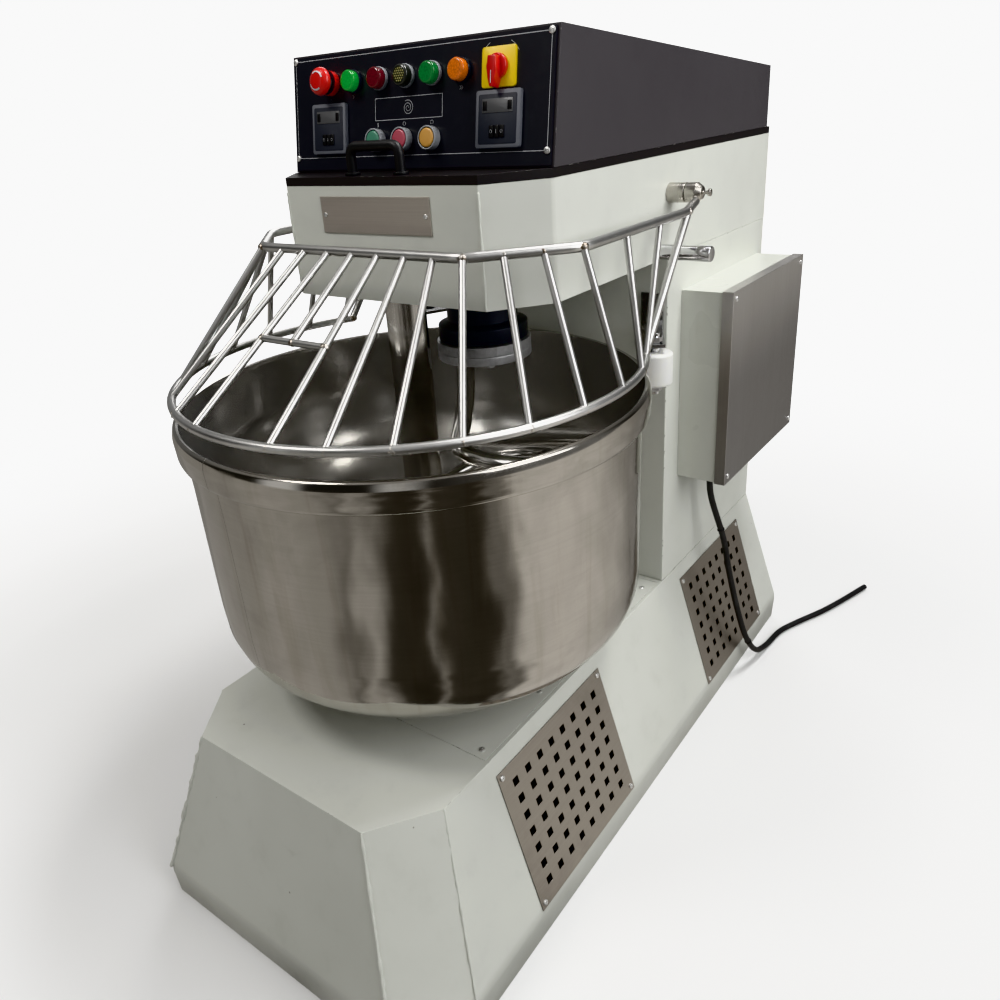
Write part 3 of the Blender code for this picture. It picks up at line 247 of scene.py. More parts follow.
def brushed(name, base, along, rough, smudge=0.5, lines=1.0, painted_sheen_heights=None):
    """Sheet stainless brushed along the axes in `along`, smudged, with bright edges.
    fade: the heights between which a tall sheet is painted with a reflection, lighter high up and
    darker below."""
    m = material(name)
    stretch = [5.0 if axis in along else 420.0 for axis in "xyz"]
    fine = m.noise(detail=4, rough=0.7, stretch=stretch)
    broad = m.noise(rough=0.6, stretch=[part * 0.16 for part in stretch])
    hand = m.noise(scale=9, detail=5, rough=0.6, distort=0.4)
    colour = m.mix(m.to(fine, 0.0, 0.75), tint(base, 0.82), tint(base, 1.10))
    colour = m.layer(colour, tint(base, 0.66), m.band(hand, 0.46, 0.70), 0.35 * smudge)
    # painted reflection: the sheet is made lighter high up and darker lower down
    if painted_sheen_heights:
        high = m.band(m.add(m.xyz()[2], m.mul(hand, 0.05)), *painted_sheen_heights)
        shade = m.mix(high, (0.66, 0.66, 0.68), (1.30, 1.30, 1.30))
        colour = m.mix(1.0, colour, shade, blend="MULTIPLY")
    colour = m.layer(colour, tint(base, 1.35), m.edge(), 0.25)
    roughness = m.add(m.to(broad, rough - 0.05, rough + 0.07),
                      m.mul(m.band(hand, 0.5, 0.72), 0.10 * smudge))
    normal = m.bump(fine, strength=0.16 * lines, depth=0.00025)
    normal = m.bump(m.noise(scale=5.5, detail=2), strength=0.12, depth=0.0020, over=normal)
    m.surface(colour, roughness, 1.0, normal)


def polished(name, base, rough, scratch, scale=90, dents=0.0):
    """Hand-polished steel: cloudy polish, hairline scratches."""
    m = material(name)
    cloud = m.noise(scale=11, detail=4, rough=0.6)
    hair = m.noise(detail=5, rough=0.75, distort=0.8, stretch=(scale, scale * 1.3, scale * 2.2))
    colour = m.mix(m.band(cloud, 0.35, 0.72), tint(base, 1.05), tint(base, 0.80))
    roughness = m.add(m.to(cloud, rough - 0.04, rough + 0.08),
                      m.mul(m.band(hair, 0.55, 0.75), 0.10 * scratch))
    normal = m.bump(hair, strength=0.10 * scratch, depth=0.0003)
    if dents:
        normal = m.bump(m.noise(scale=16, detail=2), strength=dents, depth=0.0015, over=normal)
    m.surface(colour, roughness, 1.0, normal)


def plastic(name, base, rough, grain, coat=0.0, dusty=0.25, subsurface=0.0):
    """Moulded plastic with a fine grain and a little dust."""
    m = material(name)
    dust = m.noise(scale=35, detail=5, rough=0.65)
    dulled = tuple(part * 0.75 + 0.07 for part in base)
    colour = m.layer(base, dulled, m.band(dust, 0.48, 0.75), dusty)
    roughness = m.to(m.noise(scale=60), rough - 0.05, rough + 0.08)
    normal = m.bump(m.noise(scale=900, detail=2), strength=grain, depth=0.00015)
    m.surface(colour, roughness, 0.0, normal, Coat_Weight=coat, Coat_Roughness=0.08,
              Specular_IOR_Level=0.5, Subsurface_Weight=subsurface,
              Subsurface_Radius=(0.004, 0.004, 0.003), Subsurface_Scale=1.0)


def lens(name, base, glow, strength):
    """A moulded signal-lamp lens: glowing a little, fine prisms under a glossy skin."""
    m = material(name)
    prism = m.voronoi(scale=420.0)["Distance"]
    colour = m.mix(m.to(prism, 0.0, 1.0), tint(base, 1.25), tint(base, 0.55))
    facing = m.new("LayerWeight", Blend=0.35).outputs["Facing"]
    glow_colour = m.mix(facing, glow, tint(glow, 0.35))
    normal = m.bump(prism, strength=0.21, depth=0.0006)
    m.surface(colour, 0.22, 0.0, normal, Coat_Weight=0.7, Coat_Roughness=0.05,
              Emission_Color=glow_colour, Emission_Strength=strength)


def cast(name, base, rough=0.5, metal=0.85, bump=0.5, scale=160):
    """Grainy oily metal."""
    m = material(name)
    grain = m.noise(scale=scale, detail=5, rough=0.7)
    oil = m.noise(scale=12, detail=4, rough=0.6)
    colour = m.mix(grain, tint(base, 0.70), tint(base, 1.20))
    colour = m.layer(colour, tint(base, 0.40), m.band(oil, 0.52, 0.72), 0.45)
    roughness = m.to(grain, rough - 0.12, rough + 0.12)
    m.surface(colour, roughness, metal, m.bump(grain, strength=bump, depth=0.0006))


def rubber(name):
    m = material(name)
    grain = m.noise(scale=420, rough=0.6)
    dust = m.noise(scale=16, detail=5, rough=0.65)
    colour = m.layer((0.012, 0.012, 0.013), (0.065, 0.062, 0.058), m.band(dust, 0.50, 0.74), 0.35)
    m.surface(colour, m.to(dust, 0.45, 0.70), 0.0, m.bump(grain, strength=0.25, depth=0.0003))


def bowl_steel(name, base):
    """Spun and polished bowl: rings of polish round its axis, cloudy wear, a welded seam."""
    m = material(name)
    x, y, z = m.xyz()
    angle = m.math("ARCTAN2", y, x)
    radius = m.hypot(x, y)
    cosine, sine = m.math("COSINE", angle), m.math("SINE", angle)

    def around(spread, height):
        """Coordinates without a break round the axis: the angle as a point on a circle."""
        return m.new("CombineXYZ", m.mul(cosine, spread), m.mul(sine, spread), height).outputs[0]

    climb = m.add(z, m.mul(radius, 0.7))
    fine = m.noise(detail=5, rough=0.72, vector=around(1.6, m.mul(climb, 260.0)))
    wide = m.noise(detail=4, rough=0.6, vector=around(2.2, m.mul(climb, 42.0)))
    stain = m.noise(detail=5, rough=0.6, distort=0.5, vector=around(14.0, m.mul(z, 2.2)))
    cloud = m.noise(scale=6.0, detail=5, rough=0.6, distort=0.8)
    colour = m.mix(m.to(fine, 0.1, 0.9), tint(base, 0.86), tint(base, 1.10))
    stained = (base[0] * 0.62, base[1] * 0.58, base[2] * 0.52)
    colour = m.layer(colour, stained, m.band(stain, 0.45, 0.75), 0.30)
    colour = m.layer(colour, tint(base, 0.60), m.band(cloud, 0.46, 0.72), 0.38)
    # inside, painted light: the inner face gets a lighter, greyer colour and a little diffuse
    # share, so that it reads brighter
    normal_x, normal_y, normal_z = m.xyz(m.new("TexCoord").outputs["Normal"])
    outward = m.math("DIVIDE", m.add(m.mul(normal_x, x), m.mul(normal_y, y)),
                     m.math("MAXIMUM", radius, 0.01))
    inner = m.band(m.sub(m.mul(normal_z, 0.6), outward), 0.0, 0.25)
    inside_painted_light = m.mix(m.band(cloud, 0.42, 0.72), (0.66, 0.652, 0.635), (0.50, 0.488, 0.465))
    colour = m.mix(inner, colour, inside_painted_light)
    # the welded seam runs down one side, with an uneven width in radians
    from_seam = m.math("ABSOLUTE", m.sub(angle, rad(-98.0)))
    seam_width = m.mul(m.to(m.noise(scale=60), 0.6, 1.4), 0.0022)
    on_seam = m.math("LESS_THAN", from_seam, seam_width)
    colour = m.layer(colour, tint(base, 0.45), on_seam, 0.55)
    roughness = m.add(m.to(wide, 0.070, 0.150), m.mul(m.band(cloud, 0.48, 0.70), 0.10))
    roughness = m.add(roughness, m.mul(on_seam, 0.20))
    normal = m.bump(fine, strength=0.06, depth=0.0003)
    normal = m.bump(m.noise(scale=9.0, detail=2, rough=0.4), strength=0.20, depth=0.0030,
                    over=normal)
    normal = m.bump(on_seam, strength=0.25, depth=0.0006, over=normal)
    tangent = m.new("Tangent")
    tangent.direction_type = "RADIAL"
    tangent.axis = "Z"
    metal = m.sub(1.0, m.mul(inner, 0.14))
    m.surface(colour, roughness, metal, normal, Anisotropic=0.25, Tangent=tangent.outputs[0])


def weld_metal(name):
    """Lumpy weld with heat colours."""
    m = material(name)
    lump = m.noise(scale=260, detail=4, rough=0.6)
    heat = m.noise(scale=90)
    colour = m.mix(m.band(heat, 0.35, 0.68), (0.60, 0.58, 0.55), (0.30, 0.25, 0.20))
    m.surface(colour, m.to(lump, 0.18, 0.42), 1.0, m.bump(lump, strength=0.55, depth=0.0010))


def plain_print(name, base):
    """Slightly worn printing ink."""
    m = material(name)
    worn = m.noise(scale=210, detail=4, rough=0.7)
    colour = m.layer(base, tint(base, 0.45), m.band(worn, 0.55, 0.75), 0.45)
    m.surface(colour, 0.5, 0.0, m.bump(worn, strength=0.1, depth=0.0001))


def led_grid(name):
    """A clear lamp: a dark cup with a hexagonal pack of pale yellow emitters."""
    m = material(name)
    x, _, z = m.xyz()
    pitch_x, pitch_z = 0.0036, 0.0031

    def from_centre():
        return m.add(x, 0.006), m.sub(z, 1.2231)

    across, up = from_centre()
    column = m.math("DIVIDE", across, pitch_x)
    row = m.math("DIVIDE", up, pitch_z)
    # every second row is shifted by half a pitch
    odd = m.math("MODULO", m.math("ABSOLUTE", m.math("FLOOR", row)), 2.0)
    shift = m.mul(odd, 0.5)
    # the added 100 keeps the fractions positive
    cell_x = m.sub(m.math("FRACT", m.add(column, m.add(shift, 100.0))), 0.5)
    cell_z = m.sub(m.math("FRACT", m.add(row, 100.0)), 0.5)
    dot = m.invert(m.band(m.hypot(cell_x, cell_z), 0.26, 0.42))
    pack = m.invert(m.band(m.hypot(*from_centre()), 0.0088, 0.0098))
    dot = m.mul(dot, pack)
    colour = m.mix(dot, (0.020, 0.022, 0.018), (0.42, 0.39, 0.17))
    m.surface(colour, 0.30, 0.0, m.bump(dot, strength=0.5, depth=0.0006),
              Coat_Weight=1.0, Coat_Roughness=0.03)


# ================================================================== palette
OFFWHITE = (0.700, 0.712, 0.655)
paint("body_enamel", OFFWHITE)
# the base's paint: the body paint made darker as painted shade on the lower base, with more grime,
# floor dirt and wear
paint("base_enamel_dirty_and_shaded", tint(OFFWHITE, 0.90), floor_dirt=True, grime=0.7, wear=0.7)
paint("box_enamel", tint(OFFWHITE, 0.96), rough=0.28, wear=0.3)
# a darker copy of the body paint, as painted shade for inside faces; no piece uses it
paint("inner_enamel_shaded", tint(OFFWHITE, 0.55), under=(0.12, 0.11, 0.10), rough=0.5)
paint("hood_enamel", (0.074, 0.069, 0.074), under=(0.33, 0.32, 0.31), rough=0.44,
      grime=0.8, wear=0.8)
paint("ledge_enamel", (0.020, 0.018, 0.019), under=(0.36, 0.35, 0.33), rough=0.34,
      grime=0.9, wear=0.9)
paint("motor_enamel", (0.07, 0.12, 0.19), under=(0.2, 0.2, 0.2), rough=0.45)

brushed("vent_stainless", (0.40, 0.37, 0.335), along="y", rough=0.42, smudge=0.8)
# the cover's colour carries a painted reflection, lighter at the top and darker lower down
brushed("cover_stainless", (0.56, 0.545, 0.53), along="z", rough=0.38, smudge=0.45,
        lines=0.25, painted_sheen_heights=(0.70, 0.92))
brushed("nameplate_stainless", (0.66, 0.61, 0.56), along="x", rough=0.40)
brushed("turned_stainless", (0.58, 0.555, 0.51), along="yz", rough=0.24)

polished("guard_stainless", (0.60, 0.595, 0.585), rough=0.32, scratch=1.0, scale=150, dents=0.10)
polished("bright_steel", (0.62, 0.61, 0.60), rough=0.13, scratch=0.6)
polished("tool_stainless", (0.56, 0.545, 0.52), rough=0.15, scratch=0.9, scale=110, dents=0.14)
polished("breaker_stainless", (0.52, 0.505, 0.48), rough=0.12, scratch=0.9, scale=70, dents=0.10)
polished("bright_plating", (0.74, 0.74, 0.75), rough=0.09, scratch=0.5)
polished("zinc_screw", (0.80, 0.80, 0.79), rough=0.40, scratch=0.6, scale=300)

bowl_steel("bowl_stainless", (0.500, 0.478, 0.445))
weld_metal("weld_bead")
rubber("black_rubber")

cast("flange_steel", (0.60, 0.60, 0.61), rough=0.46, metal=0.75, bump=0.25, scale=90)
cast("black_oxide", (0.030, 0.032, 0.042), rough=0.34, metal=0.5, bump=0.25, scale=220)
cast("grey_iron", (0.24, 0.24, 0.25))
cast("blued_bolt", (0.055, 0.055, 0.060), rough=0.38, metal=0.9, bump=0.3, scale=300)

PLASTICS = (
    # name, colour, roughness, grain, coat, dust
    ("panel_film", (0.0215, 0.0220, 0.0275), 0.36, 0.12, 0.15, 0.10),
    ("cable_jacket", (0.014, 0.014, 0.015), 0.42, 0.30, 0.00, 0.30),
    ("handle_black", (0.011, 0.011, 0.012), 0.46, 0.50, 0.00, 0.15),
    ("device_grey", (0.235, 0.245, 0.260), 0.42, 0.30, 0.00, 0.25),
    ("device_bezel", (0.400, 0.415, 0.440), 0.34, 0.10, 0.35, 0.15),
    ("device_dark_bezel", (0.020, 0.026, 0.040), 0.30, 0.10, 0.30, 0.25),
    ("timer_frame_grey", (0.165, 0.172, 0.195), 0.50, 0.20, 0.00, 0.25),
    ("timer_face_dark", (0.035, 0.038, 0.049), 0.52, 0.10, 0.00, 0.25),
    ("timer_window_grey", (0.120, 0.122, 0.126), 0.42, 0.05, 0.10, 0.10),
    ("timer_wheel_black", (0.008, 0.008, 0.009), 0.40, 0.20, 0.00, 0.25),
    ("stop_red", (0.620, 0.018, 0.016), 0.28, 0.08, 0.35, 0.12),
    ("knob_red", (0.550, 0.014, 0.014), 0.30, 0.10, 0.25, 0.12),
    ("plate_yellow", (0.840, 0.600, 0.015), 0.34, 0.10, 0.20, 0.12),
    ("cap_green", (0.115, 0.300, 0.210), 0.34, 0.10, 0.20, 0.30),
    ("cap_red", (0.520, 0.130, 0.165), 0.34, 0.10, 0.20, 0.30),
    ("cap_amber", (0.720, 0.400, 0.130), 0.34, 0.10, 0.20, 0.25),
)
for row in PLASTICS:
    plastic(*row)
plastic("white_nylon", (0.80, 0.80, 0.775), rough=0.42, grain=0.3, dusty=0.18, subsurface=0.25)

plain_print("white_print", (0.62, 0.63, 0.66))
plain_print("dim_print", (0.30, 0.31, 0.35))
plain_print("dark_print", (0.030, 0.028, 0.024))

lens("lens_green", (0.010, 0.26, 0.030), glow=(0.02, 0.75, 0.10), strength=0.16)
lens("lens_green_dim", (0.008, 0.16, 0.030), glow=(0.01, 0.35, 0.06), strength=0.10)
lens("lens_red", (0.115, 0.006, 0.012), glow=(0.40, 0.01, 0.02), strength=0.04)
lens("lens_orange", (0.66, 0.155, 0.012), glow=(1.0, 0.25, 0.02), strength=0.08)
led_grid("lens_clear")


# ================================================================== pieces and placing
def mesh_from(shape, name):
    """Turns a bmesh into a mesh and frees it."""
    bmesh.ops.recalc_face_normals(shape, faces=shape.faces)
    mesh = bpy.data.meshes.new(name)
    shape.to_mesh(mesh)
    shape.free()
    return mesh


def piece(name, shape, material_name, body, replaces=None, smooth=35, weighted=False):
    """Adds a bmesh or mesh as an object on a body; smooth is the sharp-edge angle, 0 for flat."""
    mesh = mesh_from(shape, name) if isinstance(shape, bmesh.types.BMesh) else shape
    obj = bpy.data.objects.new(name, mesh)
    bpy.context.scene.collection.objects.link(obj)
    # clearing also resets the faces' material indices
    mesh.materials.clear()
    mesh.materials.append(MATERIALS[material_name])
    if smooth:
        mesh.shade_smooth()
        mesh.set_sharp_from_angle(angle=rad(smooth))
    if weighted:
        obj.modifiers.new("normals", "WEIGHTED_NORMAL").keep_sharp = True
    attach(obj, body)
    if replaces:
        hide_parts(replaces)


def join(shape, other):
    mesh = mesh_from(other, "part")
    shape.from_mesh(mesh)
    bpy.data.meshes.remove(mesh)


def bevel(shape, edges, width, segments):
    return bmesh.ops.bevel(shape, geom=edges, offset=width, offset_type="OFFSET",
                           segments=segments, profile=0.5, affect="EDGES", clamp_overlap=True)


def axes(x, y, z, origin):
    """The matrix with these axes and origin as its columns."""
    return Matrix((*zip(x, y, z, origin), (0, 0, 0, 1)))


def basis(origin, z_direction, x_hint=(1, 0, 0)):
    z = Vector(z_direction).normalized()
    x = Vector(x_hint) - z * Vector(x_hint).dot(z)
    x.normalize()
    return axes(x, z.cross(x), z, origin)


def stamp(mesh, places, name, material_name, body):
    """Copies one hardware mesh to many places as one piece."""
    shape = bmesh.new()
    for place in places:
        copy = mesh.copy()
        copy.transform(place)
        shape.from_mesh(copy)
        bpy.data.meshes.remove(copy)
    result = bpy.data.meshes.new(name)
    shape.to_mesh(result)
    shape.free()
    piece(name, result, material_name, body)


def skin(node, material_name, width, segments, angle=24, bend=None):
    """Stands a rounded copy in for a sheet-metal CAD node, with its corners marked for wear.
    bend: (test(edge), width, segments) for edges that bend more softly."""
    shape = bmesh.new()
    shape.from_mesh(NODES[node].data)
    # make the flat faces whole again
    bmesh.ops.remove_doubles(shape, verts=shape.verts, dist=0.00002)
    bmesh.ops.dissolve_limit(shape, angle_limit=rad(0.6), verts=shape.verts, edges=shape.edges,
                             delimit=set())
    bmesh.ops.recalc_face_normals(shape, faces=shape.faces)
    wear = shape.verts.layers.float.new("edge")

    def sharper(edge, limit):
        return (edge.is_manifold and len(edge.link_faces) == 2
                and edge.calc_face_angle(0.0) > rad(limit))

    if bend:
        in_bend, bend_width, bend_segments = bend
        edges = [edge for edge in shape.edges if sharper(edge, 6) and in_bend(edge)]
        if edges:
            bevel(shape, edges, bend_width, bend_segments)
    edges = [edge for edge in shape.edges if sharper(edge, angle)]
    if edges:
        strip = set(bevel(shape, edges, width, segments)["faces"])
        for vert in {vert for face in strip for vert in face.verts}:
            if all(face in strip for face in vert.link_faces):
                vert[wear] = 1.0
    piece(node + "_skin", shape, material_name, NODES[node]["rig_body"], node, 60,
          weighted=True)


# ================================================================== lines and turned forms
def soften(points, radius, steps, reach=0.45, straight=165):
    """Rounds the corners of a line, using up to `reach` of each side; corners opener than
    `straight` degrees stay as they are."""
    line = [Vector(point) for point in points]
    result = [line[0]]
    for before, corner, after in zip(line, line[1:], line[2:]):
        back, ahead = before - corner, after - corner
        if back.angle(ahead) > rad(straight):
            result.append(corner)
            continue
        cut = min(radius, back.length * reach, ahead.length * reach)
        start = corner + back.normalized() * cut
        end = corner + ahead.normalized() * cut
        for t in (k / steps for k in range(steps + 1)):
            result.append((1 - t) ** 2 * start + 2 * t * (1 - t) * corner + t * t * end)
    return result + [line[-1]]


def lathe(profile, steps, place=None):
    """Turns (radius, height) points around Z; points on the axis become one vertex."""
    shape = bmesh.new()
    rings = []
    for radius, z in profile:
        if radius < 1e-7:
            rings.append([shape.verts.new((0, 0, z))])
        else:
            turns = [2 * math.pi * k / steps for k in range(steps)]
            rings.append([shape.verts.new((radius * math.cos(turn), radius * math.sin(turn), z))
                          for turn in turns])
    pairs = list(zip(rings, rings[1:]))
    if len(rings[0]) > 1 or len(rings[-1]) > 1:
        pairs.append((rings[-1], rings[0]))
    for a, b in pairs:
        if len(a) == 1 and len(b) == 1:
            continue
        for k in range(steps):
            j = (k + 1) % steps
            if len(a) == 1:
                shape.faces.new((a[0], b[k], b[j]))
            elif len(b) == 1:
                shape.faces.new((a[k], b[0], a[j]))
            else:
                shape.faces.new((a[k], b[k], b[j], a[j]))
    if place is not None:
        bmesh.ops.transform(shape, matrix=place, verts=shape.verts)
    return shape


def turned(profile, place=None, corner=0.0006, arc=4, steps=64):
    """A lathe form with its profile corners rounded in `arc` steps."""
    return lathe(soften(profile, corner, arc), steps, place)


def drum(radius, top, bottom):
    """The profile of a plain cylinder."""
    return [(0.0, top), (radius, top), (radius, bottom), (0.0, bottom)]


def spline(points, per):
    """A smooth line through points, with `per` steps between each two."""
    line = [Vector(point) for point in points]
    line = [2 * line[0] - line[1]] + line + [2 * line[-1] - line[-2]]
    result = []
    for a, b, c, d in zip(line, line[1:], line[2:], line[3:]):
        for t in (j / per for j in range(per)):
            result.append(0.5 * ((2 * b) + (c - a) * t + (2 * a - 5 * b + 4 * c - d) * t * t
                                 + (3 * b - a - 3 * c + d) * t ** 3))
    result.append(line[-2])
    return result


def straight_line(a, b, steps):
    return [a.lerp(b, i / steps) for i in range(steps + 1)]


def rod(shape, points, radius, sides=16, rough=0.0, seed=0.0, dome=0.0):
    """A round rod along points. radius is a number or a function of 0..1 along the rod;
    dome is the height of its rounded ends."""
    line = [Vector(point) for point in points]
    last = len(line) - 1
    tangents = [(line[min(i + 1, last)] - line[max(i - 1, 0)]).normalized()
                for i in range(last + 1)]
    side = tangents[0].cross(Vector((0, 0, 1)))
    if side.length < 1e-3:
        side = tangents[0].cross(Vector((1, 0, 0)))
    side.normalize()
    rings = []
    for i, (point, tangent) in enumerate(zip(line, tangents)):
        if i:
            # carry the side along without twisting
            side = tangents[i - 1].rotation_difference(tangent) @ side
            side = (side - tangent * side.dot(tangent)).normalized()
        up = tangent.cross(side)
        here = radius(i / last) if callable(radius) else radius
        ring = []
        for k in range(sides):
            angle = 2 * math.pi * k / sides
            direction = side * math.cos(angle) + up * math.sin(angle)
            reach = here
            if rough:
                spot = (point + direction * here) * 160 + Vector((seed, 0, 0))
                reach += rough * noise.noise(spot)
            ring.append(shape.verts.new(point + direction * reach))
        rings.append(ring)
    for a, b in zip(rings, rings[1:]):
        for k in range(sides):
            j = (k + 1) % sides
            shape.faces.new((a[k], a[j], b[j], b[k]))
    if not dome:
        shape.faces.new(rings[0])
        shape.faces.new(rings[-1])
        return
    for ring, tangent, sign in ((rings[0], tangents[0], -1), (rings[-1], tangents[-1], 1)):
        centre = sum((vert.co for vert in ring), Vector()) / sides
        previous = ring
        for rise in (0.5, 0.86):
            shrink = math.cos(math.asin(rise))
            current = [shape.verts.new(centre + (vert.co - centre) * shrink
                                       + tangent * sign * dome * rise) for vert in ring]
            for k in range(sides):
                j = (k + 1) % sides
                shape.faces.new((previous[k], previous[j], current[j], current[k]))
            previous = current
        tip = shape.verts.new(centre + tangent * sign * dome)
        for k in range(sides):
            shape.faces.new((previous[k], previous[(k + 1) % sides], tip))


def blob(shape, centre, radius, squash, seed, rough, subdivisions):
    """A lumpy bead of weld."""
    ball = bmesh.ops.create_icosphere(shape, subdivisions=subdivisions, radius=1.0)
    for vert in ball["verts"]:
        out = vert.co.normalized()
        swell = (1.0 + rough * noise.noise(out * 2.1 + Vector((seed, seed * 0.7, 0)))
                 + rough * 0.5 * noise.noise(out * 5.3 + Vector((0, seed, 3))))
        squashed = Vector([part * scale for part, scale in zip(out, squash)])
        vert.co = Vector(centre) + squashed * radius * swell


def seam(shape, start, end, radius, seed, lumps=0.9):
    """A painted-over weld along a corner: a thin uneven bead from start to end."""
    step, wander = 0.006, 0.0012
    start, end = Vector(start), Vector(end)
    count = max(8, int((end - start).length / step))
    sideways = (end - start).normalized().cross(Vector((0.31, 0.73, 0.6))).normalized()
    points = [start.lerp(end, i / count)
              + sideways * wander * noise.noise(Vector((i * 0.37, seed, 0)))
              for i in range(count + 1)]

    def swell(t):
        broad = noise.noise(Vector((t * count * 0.42, seed * 3.1, 1.7)))
        fine = noise.noise(Vector((t * count * 1.3, seed, 9.0)))
        return radius * (0.72 + lumps * 0.55 * broad + lumps * 0.35 * fine)

    rod(shape, points, swell, sides=10, rough=radius * 0.12, seed=seed, dome=radius * 0.6)


def slab(size, place, corner=0.0, segments=2):
    """A box centred on place, with its edges rounded if corner is set."""
    shape = bmesh.new()
    bmesh.ops.create_cube(shape, size=1.0)
    bmesh.ops.scale(shape, vec=size, verts=shape.verts)
    if corner:
        bevel(shape, list(shape.edges), corner, segments)
    bmesh.ops.transform(shape, matrix=place, verts=shape.verts)
    return shape


def round_plate(width, height, thick, place, corner, edge, arc=5):
    """A flat plate in XY with rounded corners and a softened face, its back at z 0."""
    x, y = width / 2 - corner, height / 2 - corner
    outline = []
    for centre_x, centre_y, first in ((x, y, 0), (-x, y, 90), (-x, -y, 180), (x, -y, 270)):
        for k in range(arc + 1):
            angle = rad(first + 90 * k / arc)
            outline.append((centre_x + corner * math.cos(angle),
                            centre_y + corner * math.sin(angle)))
    shape = bmesh.new()
    rings = []
    for inset, z in ((0, 0), (0, thick - edge), (edge * 0.3, thick - edge * 0.3), (edge, thick)):
        ring = []
        for x, y in outline:
            shrink = 1 - inset / Vector((x, y)).length
            ring.append(shape.verts.new((x * shrink, y * shrink, z)))
        rings.append(ring)
    for a, b in zip(rings, rings[1:]):
        for k in range(len(outline)):
            j = (k + 1) % len(outline)
            shape.faces.new((a[k], a[j], b[j], b[k]))
    shape.faces.new(list(reversed(rings[0])))
    shape.faces.new(rings[-1])
    bmesh.ops.transform(shape, matrix=place, verts=shape.verts)
    return shape


# ================================================================== screws and bolts
def cut_mesh(shape, cutter):
    """shape minus cutter, as a mesh."""
    body = bpy.data.objects.new("body", mesh_from(shape, "body"))
    tool = bpy.data.objects.new("tool", mesh_from(cutter, "tool"))
    for obj in (body, tool):
        bpy.context.scene.collection.objects.link(obj)
    cut = body.modifiers.new("cut", "BOOLEAN")
    cut.object, cut.operation, cut.solver = tool, "DIFFERENCE", "EXACT"
    cut.use_self = True
    bpy.context.view_layer.update()
    depsgraph = bpy.context.evaluated_depsgraph_get()
    mesh = bpy.data.meshes.new_from_object(body.evaluated_get(depsgraph))
    for obj in (body, tool):
        bpy.data.objects.remove(obj)
    return mesh


def pan_screw(radius, height):
    """Cross-recess pan head, its seat at z 0."""
    shank_radius, shank = radius * 0.45, 0.003
    head = lathe([(0.0, -shank), (shank_radius, -shank), (shank_radius, 0.0), (radius, 0.0),
                  (radius, height * 0.35), (radius * 0.93, height * 0.66),
                  (radius * 0.72, height * 0.88), (radius * 0.4, height * 0.98),
                  (0.0, height)], 28)
    cross = bmesh.new()
    for angle in (0, math.pi / 2):
        verts = bmesh.ops.create_cube(cross, size=1.0)["verts"]
        bmesh.ops.scale(cross, vec=(radius * 1.15, radius * 0.26, height), verts=verts)
        bmesh.ops.rotate(cross, matrix=Matrix.Rotation(angle + 0.35, 3, "Z"), verts=verts)
        bmesh.ops.translate(cross, vec=(0, 0, height * 0.98), verts=verts)
    return cut_mesh(head, cross)


def hex_bolt(radius, height):
    """A hexagon head on a washer, its seat at z 0."""
    washer = 0.0014
    shape = bmesh.new()
    join(shape, turned([(radius * 0.5, 0.0), (radius * 1.45, 0.0), (radius * 1.45, washer),
                        (radius * 0.5, washer)], corner=0.0003, arc=3, steps=32))
    rings = []
    for scale, z in ((1, washer), (1, washer + height * 0.86), (0.86, washer + height)):
        rings.append([shape.verts.new((radius * 1.13 * math.cos(math.pi / 3 * k + 0.2) * scale,
                                       radius * 1.13 * math.sin(math.pi / 3 * k + 0.2) * scale, z))
                      for k in range(6)])
    shape.faces.new(list(reversed(rings[0])))
    for a, b in zip(rings, rings[1:]):
        for k in range(6):
            j = (k + 1) % 6
            shape.faces.new((a[k], a[j], b[j], b[k]))
    shape.faces.new(rings[-1])
    return mesh_from(shape, "hex_bolt")


SMALL_SCREW = pan_screw(radius=0.0034, height=0.0020)
SCREW = pan_screw(radius=0.0046, height=0.0026)
HEAD_BOLT = hex_bolt(radius=0.0080, height=0.0060)
FLANGE_BOLT = hex_bolt(radius=0.0062, height=0.0052)

# ================================================================== sheet metal of the frame
BASE_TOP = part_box("base_shell")[1].z
BODY_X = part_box("column_shell")[1].x              # the column's right face
HEAD_BOTTOM, HEAD_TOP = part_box("head_shell")[0].z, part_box("hood_base_plate")[0].z
SKIRT_TOP = 0.055                                 # where the base's slopes turn upright
BASE_FRONT, BASE_SIDE = (0.2455, -0.4500), (0.3175, -0.3520)
BASE_REAR = (BASE_SIDE[0], 0.838)                 # outline corners of the base, right half
# the control panel leans back from its lower edge to its upper one
PANEL_FOOT = Vector((0, 0.0391, 1.0995))
PANEL_UP = Vector((0, 0.0657 - 0.0391, 1.2623 - 1.0995)).normalized()
PANEL_OUT = Vector((0, -PANEL_UP.z, PANEL_UP.y))


def near(vert, x, y, tolerance=0.0009):
    """At (x, y) on either side of the machine."""
    return abs(abs(vert.co.x) - x) < tolerance and abs(vert.co.y - y) < tolerance


def base_bend(edge):
    corners = (BASE_FRONT, BASE_SIDE, BASE_REAR)
    return all(abs(vert.co.z - SKIRT_TOP) < 0.002 and any(near(vert, *c) for c in corners)
               for vert in edge.verts)


def head_bend(edge):
    return all(near(vert, BODY_X, PANEL_FOOT.y) for vert in edge.verts)


